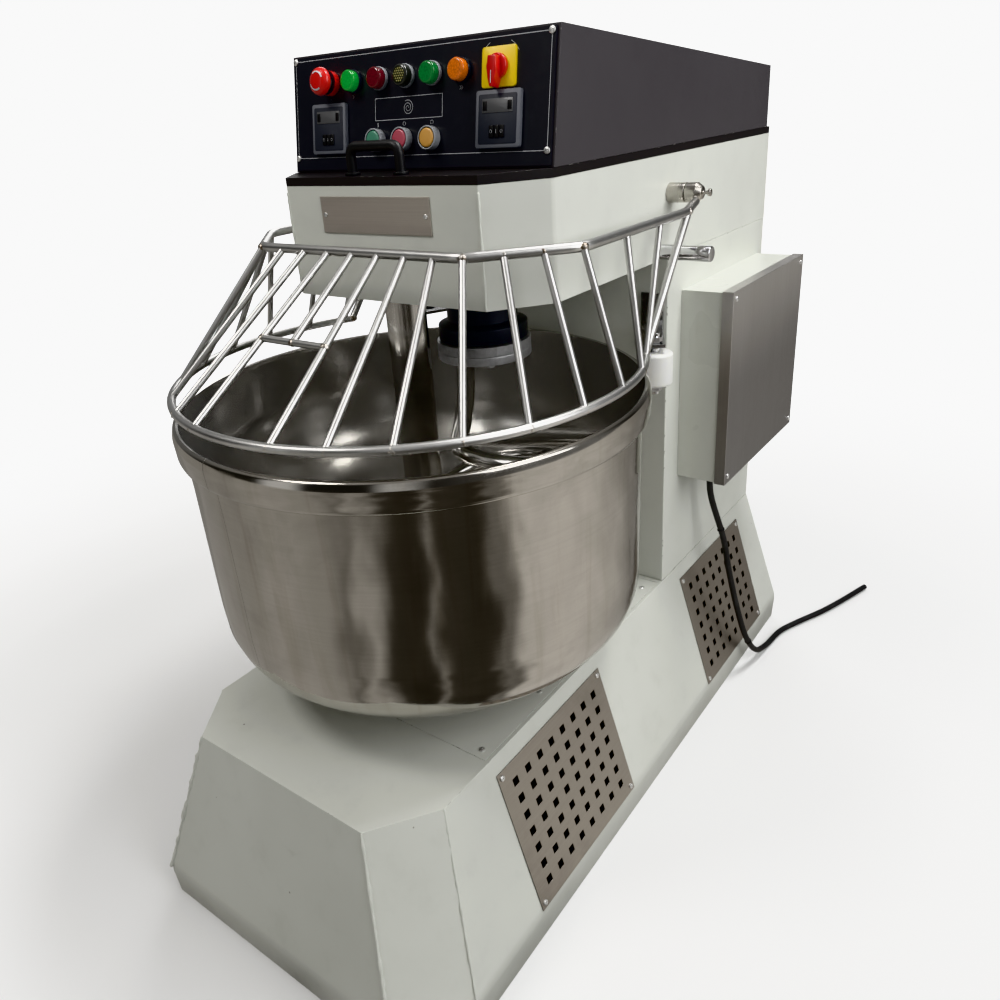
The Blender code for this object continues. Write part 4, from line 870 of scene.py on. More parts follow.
for node, material_name, slot, width, segments, bend in (
        # corner width and segments, then the softer bends
        ("base_shell", "base_enamel_dirty_and_shaded", "body_paint", 0.0022, 3, (base_bend, 0.011, 5)),
        ("base_top_cover", "base_enamel_dirty_and_shaded", "body_paint", 0.0008, 2, None),
        ("column_shell", "body_enamel", "body_paint", 0.0024, 3, None),
        ("head_shell", "body_enamel", "body_paint", 0.0020, 3, (head_bend, 0.0050, 5)),
        ("rear_cover", "body_enamel", "body_paint", 0.0007, 2, None),
        ("hood_shell", "hood_enamel", "hood_paint", 0.0018, 3, None),
        ("hood_base_plate", "ledge_enamel", "hood_paint", 0.0010, 3, None),
        ("electrical_box", "box_enamel", "body_paint", 0.0010, 3, None),
        ("electrical_box_cover", "cover_stainless", "stainless", 0.0016, 3, None),
        ("name_plate", "nameplate_stainless", "stainless", 0.0005, 2, None)):
    skin(node, material_name, width, segments, bend=bend)
skin("control_panel", "panel_film", width=0.0006, segments=2, angle=40)
for node in NODES:
    if node.startswith("vent_grille"):
        skin(node, "vent_stainless", width=0.0004, segments=1)

# pieces that keep their CAD shape
for material_name, nodes in {
        "black_oxide": ("base_floor_plate",),
        "device_grey": ("contactor_rack", "guard_limit_switch", "estop_stem"),
        "grey_iron": ("bowl_bearing_housing", "bowl_shaft", "bowl_pulley", "bowl_motor_pulley",
                      "spindle_motor_pulley", "spindle_pulley"),
        "flange_steel": ("spindle_shaft",),
        "motor_enamel": ("spindle_motor", "bowl_motor"),
        "black_rubber": ("spindle_belt", "bowl_belt")}.items():
    for node in nodes:
        for material_slot in NODES[node].material_slots:
            material_slot.material = MATERIALS[material_name]

# painted-over welds on the corners of base and head
shape = bmesh.new()
for side in (1, -1):
    for (top_x, top_y), (foot_x, foot_y), radius, seed in (
            ((0.1718, -0.3812), BASE_FRONT, 0.0034, 3), ((BODY_X, -0.2899), BASE_SIDE, 0.0022, 7)):
        seam(shape, (side * top_x, top_y, BASE_TOP - 0.002),
             (side * foot_x, foot_y, SKIRT_TOP + 0.003), radius, seed + side, lumps=1.2)
piece("base_seams", shape, "base_enamel_dirty_and_shaded", "frame", smooth=60)
shape = bmesh.new()
for side in (1, -1):
    seam(shape, (side * 0.1763, -0.0372, HEAD_BOTTOM + 0.003),
         (side * 0.1763, -0.0372, HEAD_TOP - 0.004), 0.0024, 11 + side)
piece("head_seams", shape, "body_enamel", "frame", smooth=60)

# screws of the base's top cover
stamp(SCREW, [basis((x, y, BASE_TOP), (0, 0, 1)) for x in (-0.2155, 0.2155)
              for y in (-0.172, -0.018, 0.135, 0.340)], "cover_screws", "zinc_screw", "frame")

# four screws round each vent, on the base's slopes
slope = Vector((BASE_SIDE[0] - BODY_X, 0, -(BASE_TOP - SKIRT_TOP))).normalized()
VENT_DOWN, VENT_THICK = 0.147, 0.0020             # vent centre down the slope; plate thickness
VENT_HALF_Y, VENT_HALF_SLOPE = 0.139, 0.111       # screw spacing from the centre
places = []
for side in (1, -1):
    down = Vector((side * slope.x, 0, slope.z))
    normal = Vector((side * -slope.z, 0, slope.x)).normalized()
    for y in (-0.036, 0.590):
        centre = Vector((side * BODY_X, y, BASE_TOP)) + down * VENT_DOWN + normal * VENT_THICK
        for i in (-1, 1):
            for j in (-1, 1):
                spot = centre + Vector((0, i * VENT_HALF_Y, 0)) + down * (j * VENT_HALF_SLOPE)
                places.append(basis(spot, normal))
stamp(SCREW, places, "vent_screws", "zinc_screw", "frame")

# box cover, name plate, rear cover and the two bolts under the head
low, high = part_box("electrical_box_cover")
stamp(SCREW, [basis((high.x, y, z), (1, 0, 0), (0, 1, 0)) for y in (low.y + 0.014, high.y - 0.014)
              for z in (low.z + 0.014, high.z - 0.014)], "box_cover_screws", "zinc_screw", "frame")
stamp(SMALL_SCREW, [basis((x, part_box("name_plate")[0].y, 1.0485), (0, -1, 0))
                    for x in (-0.099, 0.089)], "name_plate_screws", "zinc_screw", "frame")
stamp(SCREW, [basis((x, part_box("rear_cover")[1].y, z), (0, 1, 0)) for x in (-0.193, 0.193)
              for z in (0.394, 0.630, 0.866)], "rear_screws", "zinc_screw", "frame")
stamp(HEAD_BOLT, [basis((x, -0.020, HEAD_BOTTOM), (0, 0, -1)) for x in (-0.011, 0.064)],
      "head_bolts", "blued_bolt", "frame")

# ================================================================== bowl
# (radius, height) stations: the rolled rim, down the outside, and back up the inside
BOWL_RADIUS = 0.3575
BOWL_RIM = [(0.3500, 0.7940), (0.3548, 0.7915), (BOWL_RADIUS, 0.7800), (0.3562, 0.7560),
            (0.3545, 0.7505), (0.3452, 0.7455)]
BOWL_OUTSIDE = [BOWL_RIM[-1], (0.3435, 0.7030), (0.3412, 0.5100), (0.3385, 0.4680),
                (0.3290, 0.4380), (0.3110, 0.4150), (0.2800, 0.4000), (0.2100, 0.3885),
                (0.0920, 0.3755), (0.0, 0.3755)]
BOWL_INSIDE = [(0.0, 0.3800), (0.0920, 0.3803), (0.2090, 0.3930), (0.2770, 0.4044),
               (0.3078, 0.4186), (0.3252, 0.4404), (0.3343, 0.4690), (0.3370, 0.5105),
               (0.3392, 0.7030), (0.3482, 0.7820), (0.3470, 0.7925)]

shape = lathe(soften(BOWL_RIM, 0.0022, 3)[:-1] + soften(BOWL_OUTSIDE, 0.016, 5)
              + soften(BOWL_INSIDE, 0.016, 5), 224)
# slight dents, leaving the hub true
for vert in shape.verts:
    x, y, z = vert.co
    radius = math.hypot(x, y)
    if radius >= 0.12:
        swell = 1 + 0.00028 * noise.noise(vert.co * 6.0) / radius
        vert.co = Vector((x * swell, y * swell, z))
piece("bowl_form", shape, "bowl_stainless", "bowl", "bowl", 50)

# ================================================================== tool, breaker bar, spindle
SPINDLE_Y = 0.184
FLANGE_RADIUS, FLANGE_TOP, FLANGE_BOTTOM = 0.0785, 0.8077, 0.7930
BOLT_CIRCLE = 0.060
ON_SPINDLE = Matrix.Translation((0, SPINDLE_Y, 0))

# (radius from the spindle, angle in degrees, height): the shank, then the coil
stations = [(0.058, 271, 0.8000), (0.058, 271, 0.7720), (0.060, 268, 0.7300),
            (0.068, 265, 0.6900), (0.082, 266, 0.6620)]
for t in (k / 26 for k in range(27)):
    # the coil widens at first and draws in over its last fifth
    radius = 0.092 + 0.026 * min(1.0, t * 1.6) - 0.030 * max(0.0, (t - 0.80) / 0.20) ** 1.5
    stations.append((radius, 276 + 470 * t, 0.6480 + (0.4320 - 0.6480) * t))
points = [(radius * math.cos(rad(angle)), SPINDLE_Y + radius * math.sin(rad(angle)), z)
          for radius, angle, z in stations]
shank = Vector((points[0][0], points[0][1], FLANGE_BOTTOM))

piece("spiral_flange", turned(drum(FLANGE_RADIUS, FLANGE_TOP, FLANGE_BOTTOM), ON_SPINDLE,
                              corner=0.0022, steps=96), "flange_steel", "spiral")
shape = bmesh.new()
rod(shape, spline(points, 5), 0.0150, sides=28, dome=0.006, rough=0.0002, seed=4)
blob(shape, shank, 0.0185, squash=(1, 1, 0.36), seed=5, rough=0.22, subdivisions=3)
piece("spiral_form", shape, "tool_stainless", "spiral", "spiral_tool", 45)

# six bolts round the flange, without the ones the shank covers
places = []
for k in range(6):
    angle = rad(15 + 60 * k)
    spot = (BOLT_CIRCLE * math.cos(angle), SPINDLE_Y + BOLT_CIRCLE * math.sin(angle),
            FLANGE_BOTTOM)
    if (Vector(spot) - shank).length > 0.028:
        places.append(basis(spot, (0, 0, -1)))
stamp(FLANGE_BOLT, places, "flange_bolts", "zinc_screw", "spiral")

piece("breaker_form", turned([
    (0.0, 0.9600), (0.0250, 0.9600), (0.0250, 0.9288), (0.0300, 0.9288), (0.0300, 0.4420),
    (0.0270, 0.4260), (0.0180, 0.4180), (0.0, 0.4160)], corner=0.0040, arc=5, steps=72),
    "breaker_stainless", "frame", "breaker_bar", 40)
piece("spindle_housing_form", turned([
    (0.0583, 0.9285), (0.0583, 0.8560), (0.0740, 0.8500), (0.0740, 0.8255), (0.0264, 0.8255),
    (0.0264, 0.9900), (0.0460, 0.9900), (0.0460, 0.9500), (0.0750, 0.9500), (0.0750, 0.9340),
    (0.0583, 0.9340)], ON_SPINDLE, corner=0.0016, arc=3, steps=80),
    "black_oxide", "frame", "spindle_housing")

# ================================================================== guard
RING_RADIUS, RING_Z, RAIL_Z = 0.3475, 0.8290, 1.0085
ROD, SPOKE = 0.0062, 0.0048                       # rod radii
FRONT_X, FRONT_Y = 0.1865, -0.0912                # the rail's front corner
SIDE_X, SIDE_Y = 0.2941, 0.0160                   # the rail's side corner
RAIL_END_Y = 0.3420


def ring_at(degrees):
    return Vector((RING_RADIUS * math.cos(rad(degrees)), RING_RADIUS * math.sin(rad(degrees)),
                   RING_Z))


def bead(shape, centre, index, radius):
    blob(shape, centre, radius, squash=(1.0, 1.0, 0.85), seed=index * 1.7, rough=0.28,
         subdivisions=2)


bars, welds = bmesh.new(), bmesh.new()
rod(bars, [ring_at(31 - 242 * k / 160) for k in range(161)], ROD, sides=20, dome=0.003)
right_rail = [(FRONT_X, FRONT_Y, RAIL_Z), (SIDE_X, SIDE_Y, RAIL_Z),
              (SIDE_X, RAIL_END_Y - 0.02, RAIL_Z),
              (SIDE_X - 0.006, RAIL_END_Y + 0.0242, RAIL_Z + 0.0095)]
rail = [(-x, y, z) for x, y, z in reversed(right_rail)] + right_rail
rod(bars, soften(rail, 0.018, 7, reach=0.4, straight=180), ROD + 0.0006, sides=20, dome=0.003)

# spokes on each side: where each leaves the rail, and its angle on the ring in degrees
spoke_tops = ([(FRONT_X * k / 4, FRONT_Y) for k in (1, 2, 3, 4)]
              + [(FRONT_X + (SIDE_X - FRONT_X) * k / 3, FRONT_Y + (SIDE_Y - FRONT_Y) * k / 3)
                 for k in (1, 2)]
              + [(SIDE_X, y) for y in (SIDE_Y, 0.128, 0.231, 0.326)])
spoke_feet = [-78.0, -65.7, -52.6, -39.3, -25.5, -11.3, 3.0, 16.6, 28.0, 30.5]
count = 0
for k, ((x, y), degrees) in enumerate(zip(spoke_tops, spoke_feet)):
    # the rearmost pair is thicker
    radius, bead_radius = (ROD, 0.0078) if k == 9 else (SPOKE, 0.0068)
    foot = ring_at(degrees)
    for side in (1, -1):
        a, b = Vector((side * x, y, RAIL_Z)), Vector((side * foot.x, foot.y, foot.z))
        rod(bars, straight_line(a, b, 10), radius)
        count += 1
        bead(welds, a, count, bead_radius)
        bead(welds, b, count + 40, bead_radius)

# a short crossbar between the two front spokes, hung from the rail's middle
cross_right = Vector((*spoke_tops[0], RAIL_Z)).lerp(ring_at(spoke_feet[0]), 0.512)
cross_left = Vector((-cross_right.x, cross_right.y, cross_right.z))
rail_middle = Vector((0, FRONT_Y, RAIL_Z))
cross_middle = Vector((0, cross_right.y, cross_right.z))
rod(bars, straight_line(cross_right, cross_left, 8), SPOKE)
rod(bars, straight_line(rail_middle, cross_middle, 8), SPOKE)
for i, spot in enumerate((cross_right, cross_left, rail_middle, cross_middle)):
    bead(welds, spot, 90 + i, 0.0064)
piece("guard_form", bars, "guard_stainless", "guard", "bowl_guard", 50)
piece("guard_welds", welds, "weld_bead", "guard", smooth=60)

# pivots, along X out of the column's sides
PIVOT_Y, PIVOT_Z, PIVOT_RADIUS = 0.3802, 1.0295, 0.0152
BOSS = [(0.0, 0.0450), (0.0085, 0.0450), (0.0085, 0.0285), (PIVOT_RADIUS, 0.0285),
        (PIVOT_RADIUS, 0.0003), (0.0, 0.0003)]
CAP = [(0.0, 0.0690), (0.0056, 0.0685), (0.0056, 0.0640), (0.0026, 0.0635), (0.0026, 0.0565),
       (0.0095, 0.0552), (PIVOT_RADIUS, 0.0470), (PIVOT_RADIUS, 0.0300), (0.0091, 0.0300),
       (0.0091, 0.0460), (0.0, 0.0460)]
for side, tag in ((1, "right"), (-1, "left")):
    place = basis((side * BODY_X, PIVOT_Y, PIVOT_Z), (side, 0, 0), (0, 1, 0))
    for part, profile, body in (("boss", BOSS, "frame"), ("cap", CAP, "guard")):
        piece(f"pivot_{part}_{tag}", turned(profile, place, corner=0.0010), "turned_stainless",
              body, f"guard_pivot_{part}_{tag}")
piece("stop_bar_form", turned(drum(0.0120, 0.0880, 0.0003),
                              basis((BODY_X, 0.3450, 0.9435), (1, 0, 0), (0, 1, 0)),
                              corner=0.0022, steps=56),
      "bright_plating", "frame", "guard_stop_bar")

# guide rollers against the bowl's rim, and their brackets
ROLLER_RADIUS = 0.0270
ROLLER = [(0.0230, 0.8015), (ROLLER_RADIUS, 0.7985), (ROLLER_RADIUS, 0.751), (0.0230, 0.748),
          (0.0067, 0.748), (0.0067, 0.8015)]
for side, tag in ((1, "right"), (-1, "left")):
    reach = BOWL_RADIUS + ROLLER_RADIUS + 0.0010
    place = Matrix.Translation((side * reach * math.cos(rad(46)), reach * math.sin(rad(46)), 0))
    piece("roller_" + tag, turned(ROLLER, place, corner=0.0016, steps=72), "white_nylon",
          "roller_" + tag, "guide_roller_" + tag)
    skin("roller_bracket_" + tag, "bright_plating", width=0.0006, segments=2, angle=28)


# ================================================================== control panel
# On the panel x runs across, y up the slope and z out of the face.
def on_panel(x, y, z=0.0):
    return PANEL_FOOT + Vector((x, 0, 0)) + PANEL_UP * y + PANEL_OUT * z


def panel_place(x, y, z=0.0):
    return axes((1, 0, 0), PANEL_UP, PANEL_OUT, on_panel(x, y, z))


def polygon(shape, points):
    shape.faces.new([shape.verts.new(point) for point in points])


def draw(shape, points, width, z=0.00012, closed=False):
    """A printed line of constant width lying on the panel."""
    line = [Vector(point) for point in points]
    if closed:
        line.append(line[0])
    for a, b in zip(line, line[1:]):
        step = b - a
        aside = Vector((-step.y, step.x)).normalized() * width / 2
        ahead = step.normalized() * width / 2
        corners = (a - aside - ahead, b - aside + ahead, b + aside + ahead, a + aside - ahead)
        polygon(shape, [on_panel(corner.x, corner.y, z) for corner in corners])


def arc(x, y, radius, first, last, steps=20):
    angles = [rad(first + (last - first) * k / steps) for k in range(steps + 1)]
    return [(x + radius * math.cos(angle), y + radius * math.sin(angle)) for angle in angles]


def rectangle(left, bottom, right, top):
    return [(left, bottom), (right, bottom), (right, top), (left, top)]


PRINT_X, PRINT_BOTTOM, PRINT_TOP = 0.229, 0.0205, 0.157
LAMP_Y, SLOW_LAMP_X, FAST_LAMP_X = 0.1225, -0.106, 0.0915
BUTTON_Y, START_X, STOP_X, INCH_X = 0.0412, -0.0600, -0.0099, 0.0405
ESTOP_X, ESTOP_Y = -0.1525, 0.1228
KNOB_X, KNOB_Y = 0.1525, 0.1220
TIMER_X, TIMER_Y = 0.1550, 0.0600

# frame round the panel, and the label box
prints, fine_prints = bmesh.new(), bmesh.new()
draw(prints, rectangle(-PRINT_X, PRINT_BOTTOM, PRINT_X, PRINT_TOP), 0.0008, closed=True)
draw(prints, rectangle(-0.065, 0.068, 0.0585, 0.097), 0.0007, closed=True)
# a bar, a ring and a part ring over the three buttons
draw(prints, [(START_X, 0.0595), (START_X, 0.0645)], 0.0011)
draw(prints, arc(STOP_X, 0.0620, 0.0025, 0, 360), 0.0008)
draw(prints, arc(INCH_X, 0.0620, 0.0025, -50, 230), 0.0008)
# one chevron under the slow lamp, two under the fast one
for lamp_x, chevrons in ((SLOW_LAMP_X, 1), (FAST_LAMP_X, 2)):
    for k in range(chevrons):
        x = lamp_x - 0.0022 + k * 0.0030
        draw(prints, [(x - 0.0012, 0.1000), (x + 0.0012, 0.1022), (x - 0.0012, 0.1044)], 0.0007)
# spiral mark in the label box
spiral = []
for k in range(61):
    radius = 0.0014 + 0.0086 * k / 60
    spiral.append((-0.0032 + radius * math.cos(rad(k * 14)),
                   0.0825 + radius * math.sin(rad(k * 14))))
draw(prints, spiral, 0.0008)
# arcs either way round the selector's plate
for side in (-1, 1):
    draw(prints, arc(KNOB_X, KNOB_Y, 0.0335, 90 - side * 58, 90 - side * 30, 8), 0.0007)
# a small clock mark above each timer
for x in (-TIMER_X, TIMER_X):
    draw(fine_prints, arc(x, 0.0995, 0.0020, 0, 360), 0.0005)
    draw(fine_prints, [(x, 0.0995), (x, 0.1008)], 0.0004)
piece("panel_print", prints, "white_print", "hood", smooth=0)
piece("panel_print_fine", fine_prints, "dim_print", "hood", smooth=0)
stamp(SCREW, [panel_place(x, y) for x in (-PRINT_X, PRINT_X) for y in (PRINT_BOTTOM, PRINT_TOP)],
      "panel_screws", "zinc_screw", "hood")

# lamps
LENS = [(0.0, 0.0168), (0.0118, 0.0162), (0.0138, 0.0148), (0.0138, 0.0030), (0.0, 0.0030)]
LAMP_RING = [(0.0155, 0.0050), (0.0155, 0.0003), (0.0140, 0.0003), (0.0140, 0.0056),
             (0.0148, 0.0058)]
for name, x, lens_material, ring_material in (
        ("lamp_slow_green", SLOW_LAMP_X, "lens_green", "device_dark_bezel"),
        ("lamp_red", -0.055, "lens_red", "device_bezel"),
        ("lamp_clear", -0.006, "lens_clear", "device_bezel"),
        ("lamp_forward_green", 0.042, "lens_green_dim", "device_bezel"),
        ("lamp_fast_orange", FAST_LAMP_X, "lens_orange", "device_dark_bezel")):
    place = panel_place(x, LAMP_Y)
    piece(name + "_lens", turned(LENS, place, corner=0.0012), lens_material, "hood",
          name, 40)
    piece(name + "_ring", turned(LAMP_RING, place), ring_material, "hood")

# push-buttons: caps in bright bezels
BUTTON_CAP = [(0.0, 0.0135), (0.0108, 0.0132), (0.0125, 0.0120), (0.0125, -0.0080),
              (0.0, -0.0080)]
BUTTON_BEZEL = [(0.0157, 0.0118), (0.0157, 0.0003), (0.0134, 0.0003), (0.0134, 0.0121),
                (0.0150, 0.0124)]
for name, x, cap_material, slot in (("start_button", START_X, "cap_green", "button_green"),
                                    ("stop_button", STOP_X, "cap_red", "button_red"),
                                    ("inch_button", INCH_X, "cap_amber", "button_yellow")):
    place = panel_place(x, BUTTON_Y)
    piece(name + "_cap", turned(BUTTON_CAP, place, corner=0.0010), cap_material, name,
          name, 40)
    piece(name + "_bezel", turned(BUTTON_BEZEL, place), "device_bezel", "hood")

# emergency stop: mushroom head with two curved arrows, on a red collar
DOME_TOP, DOME_RADIUS, DOME_EDGE = 0.0335, 0.0120, 0.0318
place = panel_place(ESTOP_X, ESTOP_Y)
piece("estop_head", turned([
    (0.0, DOME_TOP), (DOME_RADIUS, DOME_EDGE), (0.0182, 0.0275), (0.0195, 0.0215),
    (0.0130, 0.0145), (0.0064, 0.0145), (0.0064, 0.0274), (0.0, 0.0274)], place,
    corner=0.0022, steps=80), "stop_red", "estop_button", "estop_button", 45)
piece("estop_collar_skin", turned([(0.0167, 0.0097), (0.0167, 0.0003), (0.0102, 0.0003),
                                   (0.0102, 0.0097)], place), "stop_red", "hood")


def on_dome(radius, degrees):
    """A point just off the head's domed face."""
    if radius < DOME_RADIUS:
        z = DOME_TOP - (DOME_TOP - DOME_EDGE) * radius / DOME_RADIUS
    else:
        z = DOME_EDGE - (radius - DOME_RADIUS) * 0.69
    return on_panel(ESTOP_X + radius * math.cos(rad(degrees)),
                    ESTOP_Y + radius * math.sin(rad(degrees)), z + 0.0003)


shape = bmesh.new()
for turn in (0, 180):
    for first in (turn + 20 + i * 7 for i in range(14)):
        polygon(shape, [on_dome(0.0112, first), on_dome(0.0132, first),
                        on_dome(0.0132, first + 7), on_dome(0.0112, first + 7)])
    polygon(shape, [on_dome(0.0098, turn + 117), on_dome(0.0142, turn + 117),
                    on_dome(0.0121, turn + 126)])
piece("estop_arrows", shape, "white_print", "estop_button", smooth=0)

# selector: yellow plate and red pointer knob
KNOB_OUTLINE = [(-0.0060, 0.0110), (-0.0072, -0.0040), (-0.0055, -0.0150), (-0.0022, -0.0255),
                (0.0022, -0.0255), (0.0055, -0.0150), (0.0072, -0.0040), (0.0060, 0.0110)]
KNOB_BOTTOM, KNOB_HEIGHT = 0.0040, 0.0160
piece("selector_plate_form", round_plate(0.0530, 0.0480, 0.0030,
                                         panel_place(KNOB_X, KNOB_Y, 0.0003), corner=0.0040,
                                         edge=0.0006, arc=6),
      "plate_yellow", "hood", "selector_plate")
place = panel_place(KNOB_X, KNOB_Y)
shape = turned([(0.0, 0.0100), (0.0145, 0.0100), (0.0155, 0.0085), (0.0155, 0.0036),
                (0.0, 0.0036)], place, corner=0.0010)
grip = bmesh.new()
face = grip.faces.new([grip.verts.new((x, y, KNOB_BOTTOM)) for x, y in KNOB_OUTLINE])
extruded = bmesh.ops.extrude_face_region(grip, geom=[face])["geom"]
bmesh.ops.translate(grip, vec=(0, 0, KNOB_HEIGHT),
                    verts=[item for item in extruded if isinstance(item, bmesh.types.BMVert)])
bmesh.ops.recalc_face_normals(grip, faces=grip.faces)
bevel(grip, list(grip.edges), 0.0012, 3)
bmesh.ops.transform(grip, matrix=place, verts=grip.verts)
join(shape, grip)
piece("selector_knob_form", shape, "knob_red", "selector_knob", "selector_knob", 40)
pointer_place = panel_place(KNOB_X, KNOB_Y - 0.0140, KNOB_BOTTOM + KNOB_HEIGHT + 0.00015)
piece("selector_pointer", slab((0.0011, 0.0150, 0.0003), pointer_place), "white_print",
      "selector_knob", smooth=0)

# timers: window above, three number wheels below
WHEEL_PITCH = 0.0083
for side, tag in ((-1, "slow_timer"), (1, "fast_timer")):
    x = side * TIMER_X
    window_y, wheel_y = TIMER_Y + 0.0160, TIMER_Y - 0.0150
    shape = round_plate(0.0700, 0.0700, 0.0060, panel_place(x, TIMER_Y, 0.0003), corner=0.0035,
                        edge=0.0008)
    join(shape, slab((0.0656, 0.0656, 0.0560), panel_place(x, TIMER_Y, -0.0282)))
    piece(tag + "_frame", shape, "timer_frame_grey", "hood", tag)
    piece(tag + "_face", round_plate(0.0600, 0.0600, 0.0006, panel_place(x, TIMER_Y, 0.0062),
                                     corner=0.0025, edge=0.0002), "timer_face_dark", "hood")
    piece(tag + "_window", round_plate(0.0480, 0.0170, 0.0006,
                                       panel_place(x, window_y, 0.0067), corner=0.0012,
                                       edge=0.0002, arc=4), "timer_window_grey", "hood")
    shape = bmesh.new()
    for k in (-1, 1):
        join(shape, slab((0.0060, 0.0110, 0.0006), panel_place(x + k * 0.0195, window_y, 0.0076),
                         corner=0.0002))
    for k in (-1, 0, 1):
        join(shape, slab((0.0072, 0.0150, 0.0024),
                         panel_place(x + k * WHEEL_PITCH, wheel_y, 0.0074),
                         corner=0.0009, segments=3))
    piece(tag + "_wheels", shape, "timer_wheel_black", "hood")
    # the digits read 0 1 0
    shape = bmesh.new()
    for k in (-1, 0, 1):
        digit_x = x + k * WHEEL_PITCH
        zero = arc(digit_x, wheel_y, 0.0017, 0, 360, 16)
        one = [(digit_x, wheel_y - 0.0022), (digit_x, wheel_y + 0.0022)]
        draw(shape, zero if k else one, 0.0006, z=0.0088)
    piece(tag + "_digits", shape, "white_print", "hood", smooth=0)

# ================================================================== handle and cable
HANDLE_X, HANDLE_HALF, HANDLE_Y = -0.0130, 0.0455, -0.0150
HANDLE_FOOT, HANDLE_TOP = 1.0995, 1.1370
left, right = HANDLE_X - HANDLE_HALF, HANDLE_X + HANDLE_HALF
shape = bmesh.new()
bow = [(left, HANDLE_Y, HANDLE_FOOT), (left, HANDLE_Y, HANDLE_TOP),
       (right, HANDLE_Y, HANDLE_TOP), (right, HANDLE_Y, HANDLE_FOOT)]
rod(shape, soften(bow, 0.0140, 10, reach=0.4, straight=180), 0.0070, sides=24)
for x in (left, right):
    join(shape, turned(drum(0.0110, 0.0040, 0.0), Matrix.Translation((x, HANDLE_Y, HANDLE_FOOT)),
                       corner=0.0010, arc=3, steps=40))
piece("handle_form", shape, "handle_black", "hood", "hood_handle", 40)

# supply cable: down the right side, then along the floor towards +Y
CABLE_RADIUS = 0.0060
CABLE = [(0.2750, 0.5060, 0.5300), (0.2750, 0.5060, 0.5080), (0.2750, 0.5060, 0.4860),
         (0.2770, 0.5160, 0.4400), (0.2960, 0.5400, 0.3450), (0.3080, 0.5480, 0.2700),
         (0.3240, 0.5620, 0.1800), (0.3370, 0.5900, 0.0950), (0.3440, 0.6400, 0.0320),
         (0.3480, 0.7000, 0.0085), (0.3560, 0.7700, 0.0065), (0.3800, 0.8300, 0.0065),
         (0.4160, 0.9060, 0.0065), (0.4470, 0.9900, 0.0065), (0.4700, 1.0600, 0.0065)]
line = spline(CABLE, 8)
shape = bmesh.new()
rod(shape, line, CABLE_RADIUS, sides=20, dome=0.001)
piece("cable_form", shape, "cable_jacket", "frame", "power_cable", 50)
tie_radius, tie_half = CABLE_RADIUS + 0.0012, 0.0017
TIE = [(CABLE_RADIUS, -tie_half), (tie_radius, -tie_half), (tie_radius, tie_half),
       (CABLE_RADIUS, tie_half)]
shape = bmesh.new()
for i in (30, 58):
    place = basis(line[i], line[i + 1] - line[i - 1], (0, 1, 0.1))
    join(shape, turned(TIE, place, corner=0.0004, arc=3, steps=32))
piece("cable_ties", shape, "handle_black", "frame")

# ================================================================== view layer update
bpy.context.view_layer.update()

# ================================================================== camera
scene = bpy.context.scene
yaw, pitch, roll = 0.66816, -0.41611, -0.07677    # radians
forward = Vector((-math.sin(yaw) * math.cos(pitch), math.cos(yaw) * math.cos(pitch),
                  math.sin(pitch)))
level = Vector((math.cos(yaw), math.sin(yaw), 0.0))
upright = level.cross(forward)
lens_data = bpy.data.cameras.new("camera")
lens_data.sensor_width, lens_data.lens = 36.0, 30.01536
lens_data.shift_x, lens_data.shift_y = 0.01705, -0.0291
lens_data.clip_start, lens_data.clip_end = 0.02, 60.0
camera = bpy.data.objects.new("camera", lens_data)
camera.matrix_world = axes(level * math.cos(roll) + upright * math.sin(roll),
                           -level * math.sin(roll) + upright * math.cos(roll),
                           -forward, (0.8319, -0.9005, 1.1814))
scene.collection.objects.link(camera)
scene.camera = camera

# ================================================================== floor
BACKDROP = {"Color": (0.985, 0.985, 0.985), "Strength": 1.7}    # what the camera sees behind

# (turn round Z from -X, grey level) of the room that polished steel reflects
FLOOR_TONES = (
    (0.0, 0.40), (0.10, 0.46), (0.17, 0.58), (0.24, 0.48), (0.265, 0.22), (0.285, 0.62),
    (0.30, 0.30), (0.315, 0.06), (0.345, 0.03), (0.358, 0.03), (0.368, 0.46), (0.380, 0.06),
    (0.43, 0.04), (0.445, 0.30), (0.455, 0.20), (0.475, 0.95), (0.53, 1.0), (0.60, 0.85),
    (0.68, 0.40), (0.76, 0.15), (1.0, 0.30))


def floor_material():
    """Matt floor that fades into the backdrop, and looks like a dim workshop in reflections."""
    m = material("floor_matt")
    distance = m.math("SQRT", m.add(m.math("POWER", m.xyz()[0], 2.0),
                                    m.math("POWER", m.xyz()[1], 2.0)))
    path = m.new("LightPath").outputs
    seen = path["Is Camera Ray"]
    matt = m.bsdf(m.mix(seen, (0.36, 0.36, 0.355), (0.84, 0.84, 0.84)), 0.80, 0.0,
                  m.bump(m.noise(scale=30), strength=0.03, depth=0.0005),
                  Specular_IOR_Level=0.15)
    far = m.new("Emission", **BACKDROP).outputs[0]
    faded = m.mix_shader(m.mul(m.band(distance, 1.0, 2.6), seen), matt, far)
    turn = m.math("DIVIDE", m.add(m.math("ARCTAN2", m.xyz()[1], m.xyz()[0]), math.pi),
                  2 * math.pi)
    wander = m.to(m.noise(scale=3.2, detail=4, rough=0.6), -0.045, 0.045)
    tone = m.ramp(m.add(turn, wander), FLOOR_TONES, cast=(1, 0.965, 0.90))
    blotches = m.to(m.noise(scale=3.0, detail=4, distort=0.8), 0.0, 0.45)
    room = m.new("Emission", Color=m.mix(blotches, tone, (0.20, 0.188, 0.170))).outputs[0]
    reflected = m.mul(m.band(distance, 0.15, 0.45), path["Is Glossy Ray"])
    m.finish(m.mix_shader(reflected, faded, room))


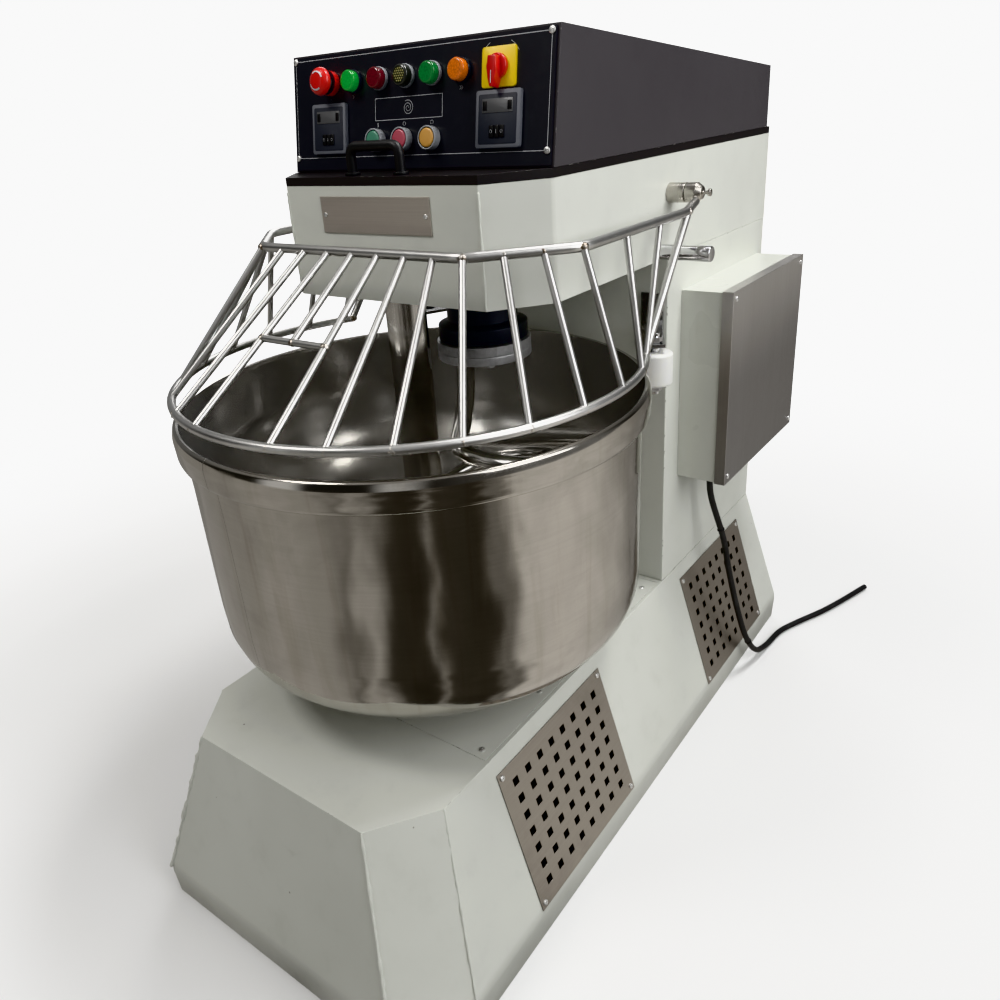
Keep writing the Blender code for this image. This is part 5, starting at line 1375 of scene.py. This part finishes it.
floor_material()
shape = bmesh.new()
bmesh.ops.create_circle(shape, cap_ends=True, segments=96, radius=14.0)
mesh = bpy.data.meshes.new("floor")
shape.to_mesh(mesh)
shape.free()
mesh.materials.append(MATERIALS["floor_matt"])
floor = bpy.data.objects.new("floor", mesh)
floor.location = (0, 0, -0.0005)
scene.collection.objects.link(floor)


# ================================================================== lights
def area(name, at, aim, size, power, colour=(1, 1, 1)):
    light = bpy.data.lights.new(name, "AREA")
    light.energy, light.color, light.size = power, colour, size
    obj = bpy.data.objects.new(name, light)
    obj.location = at
    obj.rotation_euler = (Vector(aim) - Vector(at)).to_track_quat("-Z", "Y").to_euler()
    scene.collection.objects.link(obj)


area("key", at=(-0.9, -1.5, 3.3), aim=(0.0, 0.1, 0.7), size=0.8, power=34,
     colour=(1.0, 0.985, 0.96))
area("fill", at=(2.7, 0.0, 2.2), aim=(0.0, 0.2, 0.8), size=2.2, power=60,
     colour=(0.985, 0.99, 1.0))
area("rim", at=(-1.6, 2.4, 2.4), aim=(0.0, 0.3, 0.8), size=1.6, power=30)
area("overhead", at=(0.8, 0.9, 3.6), aim=(0.1, 0.1, 0.8), size=0.7, power=62)

# ================================================================== world
# (turn round Z from -X, grey level) of the studio walls
WALL_TONES = (
    (0.0, 0.26), (0.08, 0.06), (0.155, 0.05), (0.175, 1.00), (0.205, 1.00), (0.225, 0.06),
    (0.300, 0.05), (0.325, 0.80), (0.350, 0.80), (0.375, 0.07), (0.50, 0.30), (0.60, 0.36),
    (0.68, 0.07), (0.82, 0.32), (1.0, 0.26))
world = bpy.data.worlds.new("studio")
scene.world = world
sky = Nodes(world, "OutputWorld", "Generated")
x, y, z = sky.xyz()
turn = sky.remap(sky.math("ARCTAN2", y, x), source=(-math.pi, math.pi))
walls = sky.ramp(turn, WALL_TONES, cast=(1, 1, 0.985))
# the walls give way to an even ceiling
room = sky.mix(sky.remap(z, source=(0.45, 0.80)), walls, (0.50, 0.49, 0.47))
sky.finish(sky.mix_shader(sky.new("LightPath").outputs["Is Camera Ray"],
                          sky.new("Background", Color=room, Strength=0.75).outputs[0],
                          sky.new("Background", **BACKDROP).outputs[0]))
scene.view_settings.view_transform = "Khronos PBR Neutral"
